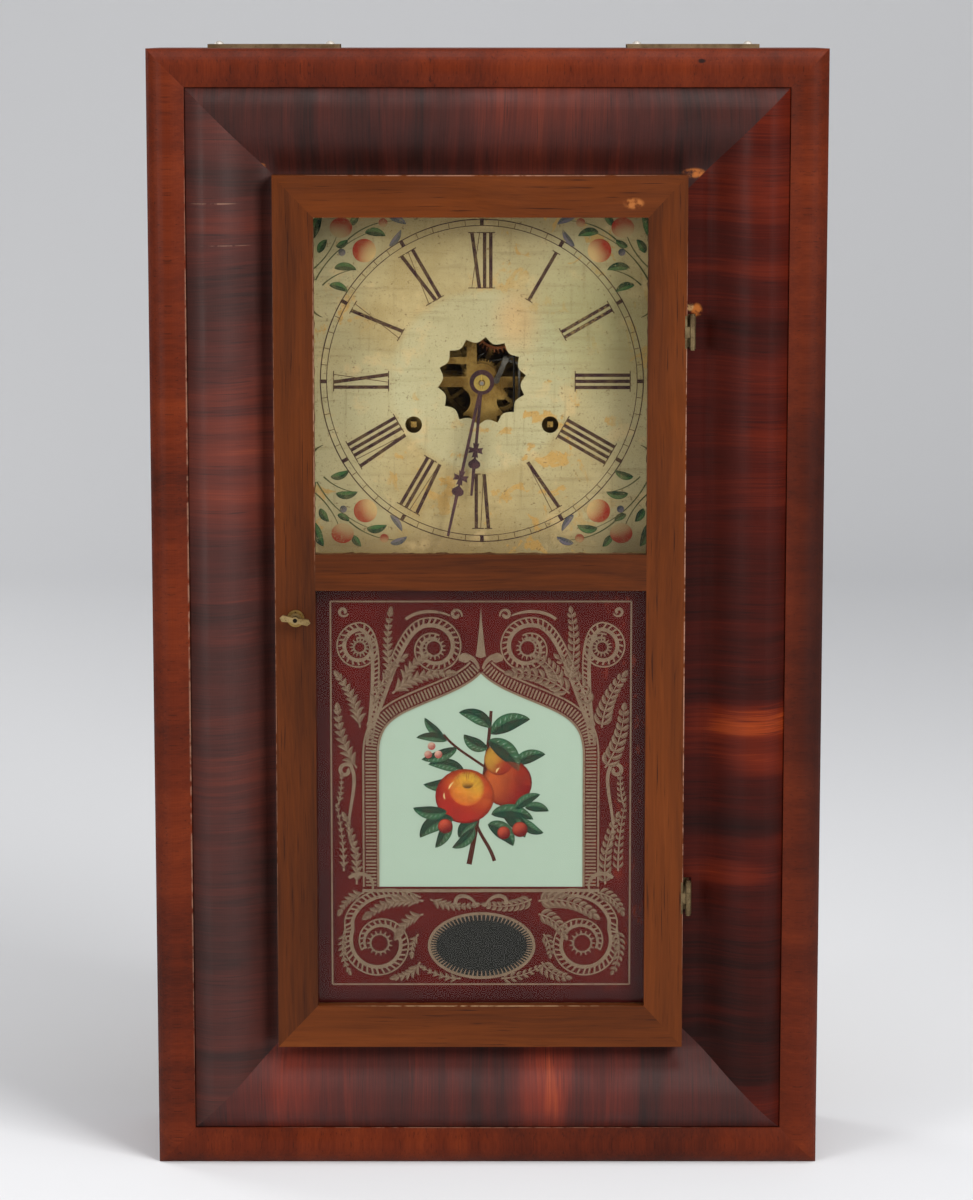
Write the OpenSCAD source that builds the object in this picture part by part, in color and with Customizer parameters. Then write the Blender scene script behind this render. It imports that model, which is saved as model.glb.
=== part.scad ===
// Ogee shelf clock: a weight-driven striking clock in a veneered box case.
// Front faces -Y, +Z is up, and the origin is under the middle of the case.

/* [Case] */
// Overall width
case_w = 391; // [340:1:480]
// Overall height
case_h = 657; // [560:1:800]
// Depth from the band's inner edge to the back
case_d = 107; // [105:1:135]
// Thickness of the case boards
board_t = 10; // [8:0.5:12]
// Thickness of the backboard
back_t = 7; // [5:0.5:9]
// Thickness of the boards beside the weights
partition_t = 6; // [4:0.5:8]
// Gap between the pulleys and the tops of the partitions
partition_gap = 6.5; // [4.5:0.5:20]

/* [Front moulding] */
// Width of the outer band
band_w = 21.9; // [15:0.1:28]
// How far the middle of the band swells out
band_swell = 3; // [1:0.5:5]
// Width of the ogee curve
ogee_w = 49.6; // [40:0.1:60]
// Distance from the band to the ogee's crest
crest_at = 13; // [9:0.5:18]
// Height of the ogee's crest over the front plane
crest_h = 7; // [4:0.5:10]
// Drop from the band's edge to the start of the ogee
quirk_drop = 1.2; // [1:0.1:5]
// Depth of the flat land under the door
land_drop = 11; // [9:0.5:12]
// Width of the land under the door
land_w = 9.4; // [9.2:0.1:14]
// Extra width of the land on the hinge side
hinge_land = 8.7; // [6:0.1:12]
// Depth of the moulding behind the front plane
frame_t = 24; // [22:0.5:26]

/* [Door] */
// How far the door laps over its opening
door_lap = 9.1; // [7:0.1:9.1]
// Thickness of the door
door_t = 13; // [12:0.5:15]
// Width of the stile with the latch
latch_stile_w = 23.5; // [20:0.5:30]
// Width of the stile with the hinges
hinge_stile_w = 22.6; // [18:0.1:30]
// Width of the top rail
top_rail_w = 24.2; // [18:0.1:30]
// Width of the middle rail
mid_rail_w = 21.1; // [16:0.1:30]
// Width of the bottom rail
bottom_rail_w = 24.9; // [18:0.1:32]
// Height of the upper opening of the door
dial_sight_h = 195.2; // [170:0.1:230]
// Width of the glass rebate
rebate_w = 4; // [3:0.5:6]
// Depth of the glass rebate from the back
rebate_d = 6; // [5:0.5:8]
// Thickness of both glasses
glass_t = 2; // [1.5:0.1:3]

/* [Hinges and latch] */
// Radius of the hinge barrels
barrel_r = 1.75; // [1.5:0.05:2.5]
// Radius of the hinge pins
hinge_pin_r = 0.8; // [0.6:0.05:1]
// Length of a hinge barrel
hinge_len = 19; // [15:0.5:26]
// Distance of the hinge axis from the door's edge
hinge_off = 3.2; // [2.6:0.1:4]
// Thickness of the hinge leaves
leaf_t = 1.2; // [0.8:0.1:1.5]
// Distance of each hinge from the end of the door
hinge_inset = 90; // [60:1:120]
// Distance of the latch from the door's edge
latch_inset = 12; // [10.5:0.1:13]
// Radius of the latch plate
latch_plate_r = 5; // [4:0.25:7]
// Length of the latch handle
latch_len = 18; // [14:0.5:24]

/* [Dial and hands] */
// Shift of the dial's middle from the door's middle
dial_shift = 1.05; // [0:0.05:2]
// Distance of the dial's middle below the door's top
dial_drop = 121.2; // [112:0.1:130]
// Height of the dial plate
dial_h = 220; // [205:1:225]
// Thickness of the dial plate
dial_t = 0.8; // [0.6:0.1:1.5]
// Radius of the dial's middle opening at its points
dial_eye_r = 26; // [22:0.5:28]
// Number of scallops round the middle opening
scallops = 14; // [8:1:20]
// Radius of the winding holes
wind_hole_r = 4.9; // [4:0.1:6]
// Length of the minute hand
minute_len = 92.2; // [80:0.1:94]
// Length of the hour hand
hour_len = 67; // [55:0.5:75]
// Angle of the minute hand, clockwise from twelve
minute_at = 192.5; // [0:0.5:360]
// Angle of the hour hand, clockwise from twelve
hour_at = 185.3; // [0:0.1:360]
// Thickness of the hands
hand_t = 1; // [0.6:0.1:1.4]

/* [Movement] */
// Thickness of the movement plates
plate_t = 1.6; // [1.2:0.1:2]
// Distance of each winding arbor from the middle
wind_x = 40; // [38:0.5:42]
// Drop of the winding arbors below the middle
wind_drop = 25.5; // [24:0.5:27]
// Thickness of the wheels
wheel_t = 1.4; // [1:0.1:2]
// Radius of a pivot
pivot_r = 1; // [0.8:0.1:1.3]
// Radius of the drums under the cord
drum_r = 12.9; // [11:0.1:14]
// Length of the drums between their ends
drum_len = 18; // [14:0.5:18]
// Tip radius of the escape wheel
escape_r = 15; // [13:0.5:16]
// Number of escape wheel teeth
escape_teeth = 36; // [30:1:42]

/* [Pendulum, hammer and gong] */
// Height of the suspension post over the hands' arbor
post_up = 44; // [40:1:48]
// Distance from the suspension post to the middle of the bob
pendulum_len = 224; // [190:1:235]
// Radius of the bob
bob_r = 19; // [14:0.5:24]
// Thickness of the bob
bob_t = 9; // [6:0.5:10]
// Radius of the pendulum rod
rod_r = 0.65; // [0.5:0.05:0.9]
// Outer radius of the gong coil
gong_r = 46; // [36:1:50]
// Turns of the gong coil
gong_turns = 3; // [2:0.5:4]
// Radius of the gong wire
gong_wire_r = 1.3; // [1:0.1:1.8]

/* [Pulleys, weights and cords] */
// Radius of the pulleys at the bottom of the groove
pulley_r = 17.2; // [14:0.2:18]
// Thickness of the pulleys
pulley_t = 6; // [5:0.5:8]
// Radius of the cords
cord_r = 0.8; // [0.6:0.1:1.2]
// Width of the weights
weight_w = 40; // [34:1:46]
// Depth of the weights
weight_d = 32; // [26:1:38]
// Height of the weights
weight_h = 135; // [110:1:160]
// Length of the tin covers over the pulleys
cover_len = 77; // [60:1:90]

/* [Fits] */
// Radial clearance of a pin or arbor in its bore
run_fit = 0.05; // [0.02:0.01:0.1]
// Gap between pieces that are set side by side
set_gap = 0.3; // [0.2:0.05:0.5]

/* [Hidden] */
$fn = 48;

// colours
mahogany = [0.45, 0.17, 0.07];
door_wood = [0.60, 0.26, 0.11];
pine = [0.62, 0.45, 0.26];
brass = [0.72, 0.57, 0.26];
steel = [0.45, 0.45, 0.47];
iron = [0.20, 0.19, 0.18];
tin = [0.55, 0.55, 0.53];
blued = [0.16, 0.13, 0.17];
dial_cream = [0.78, 0.71, 0.52];
clear_glass = [0.75, 0.85, 0.82, 0.3];
maroon = [0.33, 0.07, 0.06];
string_tan = [0.66, 0.56, 0.38];

// the latch handle stands furthest forward, so the case sits back by half of that
latch_reach = 11;
front_y = (latch_reach - case_d) / 2;

// the opening behind the door
frame_w = band_w + ogee_w + land_w;
open_x0 = -case_w / 2 + frame_w;
open_x1 = case_w / 2 - frame_w - hinge_land;
open_z0 = frame_w;
open_z1 = case_h - frame_w;
door_x0 = open_x0 - door_lap;
door_x1 = open_x1 + door_lap;
door_z0 = open_z0 - door_lap;
door_z1 = open_z1 + door_lap;
door_face = door_t - land_drop;
sight_x0 = door_x0 + latch_stile_w;
sight_x1 = door_x1 - hinge_stile_w;
sight_top = door_z1 - top_rail_w;
mid_rail_top = sight_top - dial_sight_h;
mid_rail_z = mid_rail_top - mid_rail_w;
tablet_z0 = door_z0 + bottom_rail_w;

// dial centre and the depths of everything behind the front plane
dial_x = (door_x0 + door_x1) / 2 + dial_shift;
dial_z = door_z1 - dial_drop;
minute_hand_d = 20;
hour_hand_d = 24;
dial_d = 30;
rod_d = 37.5;
front_plate_d = 42;
hour_wheel_d = 45;
minute_wheel_d = 47.2;
escape_d = 50;
third_d = 55;
center_d = 61;
great_d = 73.5;
back_plate_d = 80;
hammer_d = 87;
backboard_d = case_d - back_t;
plates_gap_d = front_plate_d + plate_t;
back_face_d = back_plate_d + plate_t;

// tooth counts
great_teeth = 72;
center_leaves = 10;
center_teeth = 80;
third_leaves = 8;
third_teeth = 84;
escape_leaves = 8;
cannon_leaves = 12;
minute_teeth = 36;
minute_leaves = 10;
hour_teeth = 40;
strike_teeth = 64;
pin_leaves = 8;
pin_teeth = 60;
warning_leaves = 8;
warning_teeth = 50;
fly_leaves = 7;

// arbor places, measured from the hands' arbor
hub = [0, 0];
time_arbor = [wind_x, -wind_drop];
strike_arbor = [-wind_x, -wind_drop];
escape_arbor = [9, escape_r + 14.6];
center_m = 0.62;
third_m = 0.56;
great_m = 2 * norm(time_arbor) / (great_teeth + center_leaves);
center_mesh = center_m * (center_teeth + third_leaves) / 2;
third_mesh = third_m * (third_teeth + escape_leaves) / 2;
third_arbor = meet(hub, center_mesh, escape_arbor, third_mesh);
cannon_m = 0.6;
minute_mesh = cannon_m * (cannon_leaves + minute_teeth) / 2;
hour_m = 2 * minute_mesh / (minute_leaves + hour_teeth);
minute_arbor = polar(minute_mesh, -38);
strike_m = 0.95;
pin_m = 0.55;
warning_m = 0.5;
pin_arbor = strike_arbor + polar(strike_m * (strike_teeth + pin_leaves) / 2, 90);
warning_arbor = pin_arbor + polar(pin_m * (pin_teeth + warning_leaves) / 2, 115);
fly_arbor = warning_arbor + polar(warning_m * (warning_teeth + fly_leaves) / 2, 60);
hammer_arbor = strike_arbor + [-26, -22.5];
verge_pin = [13.9, 11.6];
bracket_rivet = [8.6, -0.4];
rod_x = 18.8;
pillars = [[-62, 48], [62, 48], [-16, -68], [16, -68]];
plate_corners = [
    [-62, 48], [62, 48], time_arbor + [28, -18.5],
    [16, -68], [-16, -68], hammer_arbor + [-2, -2]
];

// proportions of the wheel teeth and the pinion pins, in modules or pitches
tooth_tall = 0.9;
tooth_deep = 1.4;
tooth_share = 0.42;
tip_share = 0.14;
trundle_share = 0.17;

// weights, pulleys and cords
weight_gap = 2.4;
weight_floor = 4;
cord_at = pulley_r + cord_r + set_gap;
left_weight_x = open_x0 - partition_t - weight_gap - weight_w / 2;
right_weight_x = open_x1 + partition_t + weight_gap + weight_w / 2 + 4;
left_pulley_x = left_weight_x + cord_at;
right_pulley_x = right_weight_x - cord_at;
pulley_z = case_h - cord_at - cord_r - 1;
weight_mid_d = (frame_t + backboard_d) / 2;
pulley_rim_r = pulley_r + 2.2;
pulley_pin_r = 1.5;
weight_z = board_t + weight_floor;

// nails and screws
nail_r = 0.7;
cover_nail_r = 2.8;
cover_d = 26;
cover_h = 2.3;
tin_t = 0.7;
screw_r = 1.2;
dial_nails = [
    for (x = [open_x0 + 3.5, open_x1 - 3.5])
        for (z = [dial_z - dial_h / 2 + 12, dial_z + dial_h / 2 - 12])
            [x, z]
];
cover_nails = [
    for (x = [left_pulley_x, right_pulley_x])
        for (side = [-1, 1])
            [x + side * (cover_len / 2 - 6), front_y + weight_mid_d]
];
plate_screws = [[-30, 48], [30, 48], [-8, -68], [8, -68]];

// hinge and latch places
hinge_x = door_x1 + hinge_off;
hinge_zs = [door_z0 + hinge_inset, door_z1 - hinge_inset];
latch_x = door_x0 + latch_inset;
latch_z = (door_z0 + door_z1) / 2;
latch_shaft_r = 1.4;
bolt_d = 17;
bolt_len = 11;
bolt_sweep = bolt_len + 1.2;

// ---------- helpers ----------

function polar(r, a) = [r * cos(a), r * sin(a)];

// the place at distance ra from a and rb from b, on the left of the line from a to b
function meet(a, ra, b, rb) =
    let (
        gap = norm(b - a),
        way = (b - a) / gap,
        along = (ra * ra - rb * rb + gap * gap) / (2 * gap),
        off = sqrt(ra * ra - along * along)
    )
    a + along * way + off * [-way[1], way[0]];

// the direction from one place to another
function bearing(a, b) = atan2(b[1] - a[1], b[0] - a[0]);

// a flat piece parallel to the front, from depth d0 to depth d1
module slab(d0, d1) {
    translate([0, front_y + d1, 0])
        rotate([90, 0, 0])
            linear_extrude(d1 - d0)
                children();
}

// a flat drawing moved to a place on the movement
module on_dial(place = [0, 0]) {
    translate([dial_x + place[0], dial_z + place[1]])
        children();
}

module round_bar(place, r, d0, d1) {
    slab(d0, d1)
        on_dial(place)
            circle(r);
}

// a straight strap with round ends
module strap(a, b, w) {
    translate(a)
        rotate(bearing(a, b))
            translate([0, -w / 2])
                square([norm(b - a), w]);
    translate(a)
        circle(w / 2);
    translate(b)
        circle(w / 2);
}

// straps through a row of places
module strap_chain(places, w) {
    for (i = [0 : len(places) - 2])
        strap(places[i], places[i + 1], w);
}

// a box between two corners, its depth measured behind the front plane
module board(x0, x1, d0, d1, z0, z1) {
    translate([x0, front_y + d0, z0])
        cube([x1 - x0, d1 - d0, z1 - z0]);
}

// a moulding along +Z with the ends cut to the widths of its neighbours
module mitred(length, profile, w0, w1, low_w, high_w) {
    low_slope = low_w / w1;
    high_slope = high_w / w1;
    intersection() {
        translate([0, 0, -length / 2])
            linear_extrude(length)
                polygon([for (p = profile) [p[0], -p[1]]]);
        rotate([90, 0, 0])
            linear_extrude(200, center = true)
                polygon([
                    [w0, -length / 2 + w0 * low_slope],
                    [w1, -length / 2 + low_w],
                    [w1, length / 2 - high_w],
                    [w0, length / 2 - w0 * high_slope]
                ]);
    }
}

module on_left() {
    translate([-case_w / 2, front_y, case_h / 2])
        children();
}

module on_right() {
    translate([case_w / 2, front_y, case_h / 2])
        mirror([1, 0, 0])
            children();
}

module on_top() {
    translate([0, front_y, case_h])
        rotate([0, 90, 0])
            children();
}

module on_bottom() {
    translate([0, front_y, 0])
        rotate([0, -90, 0])
            children();
}

// ---------- case ----------

module case_side_left() {
    color(mahogany)
        board(-case_w / 2, -case_w / 2 + board_t, frame_t, case_d, 0, case_h);
}

module case_side_right() {
    color(mahogany)
        board(case_w / 2 - board_t, case_w / 2, frame_t, case_d, 0, case_h);
}

module case_top() {
    inner = case_w / 2 - board_t;
    slot = pulley_t / 2 + 2;
    cheek_t = 6;
    color(mahogany)
        difference() {
            union() {
                board(-inner, inner, frame_t, case_d, case_h - board_t, case_h);
                // cheeks under the board that carry the pulley pins
                for (x = [left_pulley_x, right_pulley_x])
                    for (d = [weight_mid_d - slot - cheek_t, weight_mid_d + slot])
                        board(x - 9, x + 9, d, d + cheek_t, pulley_z - 7, case_h - board_t + 1);
            }
            for (x = [left_pulley_x, right_pulley_x]) {
                translate([x, front_y + weight_mid_d, case_h - board_t / 2])
                    cube([2 * pulley_rim_r + 6, 2 * slot, board_t + 2], center = true);
                translate([x, front_y + weight_mid_d, pulley_z])
                    rotate([90, 0, 0])
                        cylinder(h = 40, r = pulley_pin_r + run_fit, center = true);
            }
            for (place = cover_nails)
                translate([place[0], place[1], case_h - board_t - 1])
                    cylinder(h = board_t + 2, r = nail_r + run_fit);
        }
}

module case_bottom() {
    inner = case_w / 2 - board_t;
    color(pine)
        board(-inner, inner, frame_t, case_d, 0, board_t);
}

module backboard() {
    inner = case_w / 2 - board_t;
    color(pine)
        board(-inner, inner, backboard_d, case_d, board_t, case_h - board_t);
}

// height of the ogee over the front plane, s measured inward from the band
function ogee_rise(s) =
    s < crest_at
        ? -quirk_drop + (crest_h + quirk_drop) * sin(90 * s / crest_at)
        : let (u = pow((s - crest_at) / (ogee_w - crest_at), 1.35))
          crest_h - (crest_h + land_drop) * (1 - cos(180 * u)) / 2;

ogee_steps = 36;
ogee_profile = concat(
    [[band_w, -frame_t]],
    [for (i = [0 : ogee_steps]) let (s = ogee_w * i / ogee_steps) [band_w + s, ogee_rise(s)]],
    [[frame_w, -land_drop], [frame_w, -frame_t]]
);

band_steps = 14;
band_profile = concat(
    [[0, -frame_t]],
    [
        for (i = [0 : band_steps])
            let (u = i / band_steps)
            [band_w * u, -4 * pow(1 - u, 3) + band_swell * sin(180 * pow(u, 0.8))]
    ],
    [[band_w, -frame_t]]
);

module ogee_member(length) {
    mitred(length, ogee_profile, band_w, frame_w, frame_w, frame_w);
}

module ogee_left() {
    mortise_z = latch_z - case_h / 2;
    color(mahogany)
        on_left()
            difference() {
                ogee_member(case_h);
                // the pocket that the latch bolt turns into
                translate([frame_w - 9.5, bolt_d - 1, mortise_z - bolt_sweep])
                    cube([11, 4, 2 * bolt_sweep]);
            }
}

module ogee_right() {
    strip = [
        [frame_w, -frame_t], [frame_w, -land_drop],
        [frame_w + hinge_land, -land_drop], [frame_w + hinge_land, -frame_t]
    ];
    color(mahogany)
        difference() {
            union() {
                on_right()
                    ogee_member(case_h);
                board(open_x1, open_x1 + hinge_land, land_drop, frame_t, open_z0, open_z1);
            }
            // shallow beds for the hinge leaves
            for (z = hinge_zs)
                board(
                    hinge_x - 10, hinge_x + 2.2, land_drop - 1, land_drop + leaf_t,
                    z - hinge_len / 2 - 0.2, z + hinge_len / 2 + 0.2
                );
        }
}

module ogee_top() {
    color(mahogany)
        on_top()
            ogee_member(case_w);
}

module ogee_bottom() {
    color(mahogany)
        on_bottom()
            ogee_member(case_w);
}

module outer_band() {
    color(mahogany) {
        on_left()
            mitred(case_h, band_profile, 0, band_w, band_w, band_w);
        on_right()
            mitred(case_h, band_profile, 0, band_w, band_w, band_w);
        on_top()
            mitred(case_w, band_profile, 0, band_w, band_w, band_w);
        on_bottom()
            mitred(case_w, band_profile, 0, band_w, band_w, band_w);
    }
}

module partitions() {
    top = pulley_z - pulley_rim_r - partition_gap;
    color(pine) {
        board(open_x0 - partition_t, open_x0, frame_t, backboard_d, board_t, top);
        board(open_x1, open_x1 + partition_t, frame_t, backboard_d, board_t, top);
    }
}

// strips on the partitions that carry the dial
module dial_battens() {
    batten = 7;
    back = dial_d + dial_t;
    z0 = dial_z - dial_h / 2;
    z1 = dial_z + dial_h / 2;
    color(pine)
        difference() {
            union() {
                board(open_x0, open_x0 + batten, back, back + batten, z0, z1);
                board(open_x1 - batten, open_x1, back, back + batten, z0, z1);
            }
            slab(back - 1, back + batten + 1)
                for (place = dial_nails)
                    translate(place)
                        circle(nail_r + run_fit);
        }
}

// blocks between the backboard and the movement
module movement_cleats() {
    half = 48;
    color(pine)
        difference() {
            union() {
                board(dial_x - half, dial_x + half, back_face_d, backboard_d, dial_z + 43, dial_z + 58);
                board(dial_x - half, dial_x + half, back_face_d, backboard_d, dial_z - 74, dial_z - 62);
            }
            screw_holes(back_face_d - 1, back_face_d + 12);
        }
}

// ---------- door ----------

// a door member's section, with the glass rebate on its inner edge
function stile_profile(w) = [
    [0, -land_drop], [0, door_face], [w, door_face],
    [w, rebate_d - land_drop], [w - rebate_w, rebate_d - land_drop], [w - rebate_w, -land_drop]
];

door_w = door_x1 - door_x0;
door_h = door_z1 - door_z0;
door_mid_x = (door_x0 + door_x1) / 2;
door_mid_z = (door_z0 + door_z1) / 2;
glass_d = land_drop - rebate_d;

module door_latch_stile() {
    color(door_wood)
        difference() {
            translate([door_x0, front_y, door_mid_z])
                mitred(door_h, stile_profile(latch_stile_w), 0, latch_stile_w, bottom_rail_w, top_rail_w);
            slab(-door_face - 1, land_drop + 1)
                translate([latch_x, latch_z])
                    circle(latch_shaft_r + 2 * run_fit);
        }
}

module door_hinge_stile() {
    color(door_wood)
        difference() {
            translate([door_x1, front_y, door_mid_z])
                mirror([1, 0, 0])
                    mitred(door_h, stile_profile(hinge_stile_w), 0, hinge_stile_w, bottom_rail_w, top_rail_w);
            for (z = hinge_zs)
                board(
                    door_x1 - leaf_t, door_x1 + 1, -door_face - 1, land_drop - 2,
                    z - hinge_len / 2, z + hinge_len / 2
                );
        }
}

module door_top_rail() {
    color(door_wood)
        translate([door_mid_x, front_y, door_z1])
            rotate([0, 90, 0])
                mitred(door_w, stile_profile(top_rail_w), 0, top_rail_w, latch_stile_w, hinge_stile_w);
}

module door_bottom_rail() {
    color(door_wood)
        translate([door_mid_x, front_y, door_z0])
            rotate([0, -90, 0])
                mitred(door_w, stile_profile(bottom_rail_w), 0, bottom_rail_w, hinge_stile_w, latch_stile_w);
}

module door_middle_rail() {
    color(door_wood) {
        board(sight_x0, sight_x1, -door_face, glass_d, mid_rail_z, mid_rail_top);
        board(
            sight_x0 - rebate_w, sight_x1 + rebate_w, glass_d, land_drop,
            mid_rail_z + rebate_w, mid_rail_top - rebate_w
        );
    }
}

module pane(z0, z1) {
    lap = rebate_w - set_gap;
    board(sight_x0 - lap, sight_x1 + lap, glass_d, glass_d + glass_t, z0 - lap, z1 + lap);
}

module dial_glass() {
    color(clear_glass)
        pane(mid_rail_top, sight_top);
}

module tablet_glass() {
    color(maroon)
        pane(tablet_z0, mid_rail_z);
}

// ---------- hinges and latch ----------

knuckle = hinge_len / 3;

module barrel(z0, z1, r) {
    translate([hinge_x, front_y - door_face, z0])
        cylinder(h = z1 - z0, r = r);
}

// the pin's hole through a barrel
module pin_hole(z) {
    barrel(z - hinge_len / 2 - 1, z + hinge_len / 2 + 1, hinge_pin_r + run_fit);
}

// leaves let into the land, with the outer knuckles, and the pins through them
module hinge_case_halves() {
    color(brass)
        for (z = hinge_zs) {
            z0 = z - hinge_len / 2;
            z1 = z + hinge_len / 2;
            difference() {
                union() {
                    board(hinge_x - 9, hinge_x + 0.6, land_drop, land_drop + leaf_t, z0, z1);
                    for (low = [z0, z1 - knuckle + 0.1]) {
                        high = low + knuckle - 0.1;
                        barrel(low, high, barrel_r);
                        board(hinge_x - 0.6, hinge_x + 0.6, 1 - door_face, land_drop + leaf_t, low, high);
                    }
                }
                pin_hole(z);
            }
            barrel(z0 - 0.6, z1 + 0.6, hinge_pin_r);
            barrel(z0 - 0.9, z0 - 0.1, barrel_r * 0.75);
            barrel(z1 + 0.1, z1 + 0.9, barrel_r * 0.75);
        }
}

// leaves let into the door's edge, with the middle knuckles
module hinge_door_halves() {
    color(brass)
        for (z = hinge_zs)
            difference() {
                union() {
                    board(
                        door_x1 - leaf_t, door_x1, -door_face, land_drop - 2,
                        z - hinge_len / 2, z + hinge_len / 2
                    );
                    barrel(z - knuckle / 2 + 0.1, z + knuckle / 2 - 0.1, barrel_r);
                    board(
                        door_x1 - leaf_t, hinge_x, -door_face - 0.6, 0.6 - door_face,
                        z - knuckle / 2 + 0.1, z + knuckle / 2 - 0.1
                    );
                }
                pin_hole(z);
            }
}

module latch_plate() {
    color(brass)
        slab(-door_face - 0.8, -door_face)
            translate([latch_x, latch_z])
                difference() {
                    circle(latch_plate_r);
                    circle(latch_shaft_r + 2 * run_fit);
                    translate([0, latch_plate_r - 1.3])
                        circle(0.4);
                }
}

// winged handle in front, bolt behind, and the shaft between them
module latch_turn() {
    wing = latch_len / 2;
    front = -door_face - 0.9;
    color(brass) {
        slab(1 - latch_reach, bolt_d + 1.8)
            translate([latch_x, latch_z])
                circle(latch_shaft_r);
        slab(front - 2.2, front)
            translate([latch_x, latch_z])
                circle(3.2);
        slab(-latch_reach, 2.6 - latch_reach)
            translate([latch_x, latch_z])
                rotate(-10) {
                    circle(2);
                    for (side = [-1, 1])
                        polygon([
                            [0, -1.2], [side * (wing - 1.5), -1.9], [side * wing, 0],
                            [side * (wing - 1.5), 1.9], [0, 1.2]
                        ]);
                }
        slab(bolt_d, bolt_d + 1.8)
            translate([latch_x - 1.6, latch_z - bolt_len])
                square([3.2, bolt_len + 2]);
    }
}

// ---------- dial and hands ----------

// the opening's edge: arcs that bulge inwards between points
function eye_edge(step) =
    let (part = step / 8 - floor(step / 8))
    dial_eye_r - 3.2 * sin(180 * part);

module dial() {
    color(dial_cream)
        slab(dial_d, dial_d + dial_t)
            difference() {
                translate([open_x0 + 0.5, dial_z - dial_h / 2])
                    square([open_x1 - open_x0 - 1, dial_h]);
                for (place = dial_nails)
                    translate(place)
                        circle(nail_r + run_fit);
                on_dial()
                    polygon([
                        for (i = [0 : scallops * 8 - 1])
                            polar(eye_edge(i), 85 - 360 * i / (scallops * 8))
                    ]);
                for (place = [time_arbor, strike_arbor])
                    on_dial(place)
                        circle(wind_hole_r);
            }
}

hands_arbor_r = 1.5;
cannon_r = 2.4;
hour_pipe_r = 3.7;

// the middle of a hand, its boss and stem and the cross and spade along it
module hand_drawing(length, boss_r, cross_at, stem_w) {
    tip = cross_at * length;
    arm = 4.4;
    circle(boss_r);
    translate([-stem_w / 2, 0])
        square([stem_w, tip - arm + 1.4]);
    // cross with four flared arms
    for (turn = [0 : 90 : 270])
        translate([0, tip])
            rotate(turn)
                polygon([[-1, 0], [-1.9, arm], [0, arm - 0.8], [1.9, arm], [1, 0]]);
    // spade and pointed tip
    translate([0, tip + arm - 1])
        polygon([
            [-0.8, 0], [-0.6, 1.5], [-3.4, 3.8], [-3.6, 5.6], [-2.4, 7], [-1, 7.4],
            [-0.7, length - tip - arm + 1], [0.7, length - tip - arm + 1],
            [1, 7.4], [2.4, 7], [3.6, 5.6], [3.4, 3.8], [0.6, 1.5], [0.8, 0]
        ]);
}

module minute_hand() {
    color(blued)
        slab(minute_hand_d, minute_hand_d + hand_t)
            difference() {
                on_dial()
                    rotate(-minute_at)
                        hand_drawing(minute_len, 4.2, 0.62, 1.8);
                on_dial()
                    circle(hands_arbor_r + run_fit);
            }
}

module hour_hand() {
    color(blued)
        slab(hour_hand_d, hour_hand_d + hand_t)
            difference() {
                on_dial()
                    rotate(-hour_at)
                        hand_drawing(hour_len, 7.2, 0.6, 1.8);
                on_dial()
                    circle(hour_pipe_r + run_fit);
            }
}

// the cross hole in the arbor for the taper pin
module taper_pin_hole() {
    translate([dial_x, front_y + minute_hand_d - 1.3, dial_z - 5])
        cylinder(h = 10, r = 0.4 + run_fit);
}

// washer and taper pin that hold the minute hand
module hand_washer() {
    color(brass) {
        slab(minute_hand_d - 0.9, minute_hand_d)
            difference() {
                on_dial()
                    circle(4.7);
                on_dial()
                    circle(1.9);
            }
    }
    color(iron)
        translate([dial_x, front_y + minute_hand_d - 1.3, dial_z - 4])
            cylinder(h = 9, r = 0.4);
}

// ---------- wheelwork ----------

// toothed outline, with a tooth at the angle phase
module toothed(teeth, m, phase) {
    pitch = 360 / teeth;
    r = teeth * m / 2;
    polygon([
        for (k = [0 : teeth - 1])
            for (corner = [
                [r - tooth_deep * m, -tooth_share - 0.08], [r, -tooth_share],
                [r + tooth_tall * m, -tip_share], [r + tooth_tall * m, tip_share],
                [r, tooth_share], [r - tooth_deep * m, tooth_share + 0.08]
            ])
                polar(corner[0], phase + pitch * (k + corner[1] / 2))
    ]);
}

// a crossed-out wheel with spokes between rim and hub
module wheel(place, teeth, m, phase, d0, spokes = 4, hub_r = 4) {
    rim_r = teeth * m / 2 - tooth_deep * m - 2.2;
    slab(d0, d0 + wheel_t)
        on_dial(place) {
            difference() {
                toothed(teeth, m, phase);
                circle(rim_r);
            }
            circle(hub_r);
            for (k = [0 : spokes - 1])
                rotate(phase + 360 / spokes * k)
                    translate([0, -1.1])
                        square([rim_r + 0.3, 2.2]);
        }
}

// a lantern pinion with a gap between its pins at the angle gap_at
module lantern(place, leaves, m, gap_at, d0, d1) {
    r = leaves * m / 2;
    pin = trundle_share * PI * m;
    for (shroud = [d0, d1 - 0.9])
        round_bar(place, r + pin + 0.4, shroud, shroud + 0.9);
    slab(d0, d1)
        on_dial(place)
            for (k = [0 : leaves - 1])
                translate(polar(r, gap_at + 360 / leaves * (k + 0.5)))
                    circle(pin, $fn = 8);
}

// the arbor between the plates and its pivots through them
module arbor(place, r = 1.4) {
    round_bar(place, r, plates_gap_d + 0.3, back_plate_d - 0.3);
    round_bar(place, pivot_r, front_plate_d - 0.6, back_face_d + 0.6);
}

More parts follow.
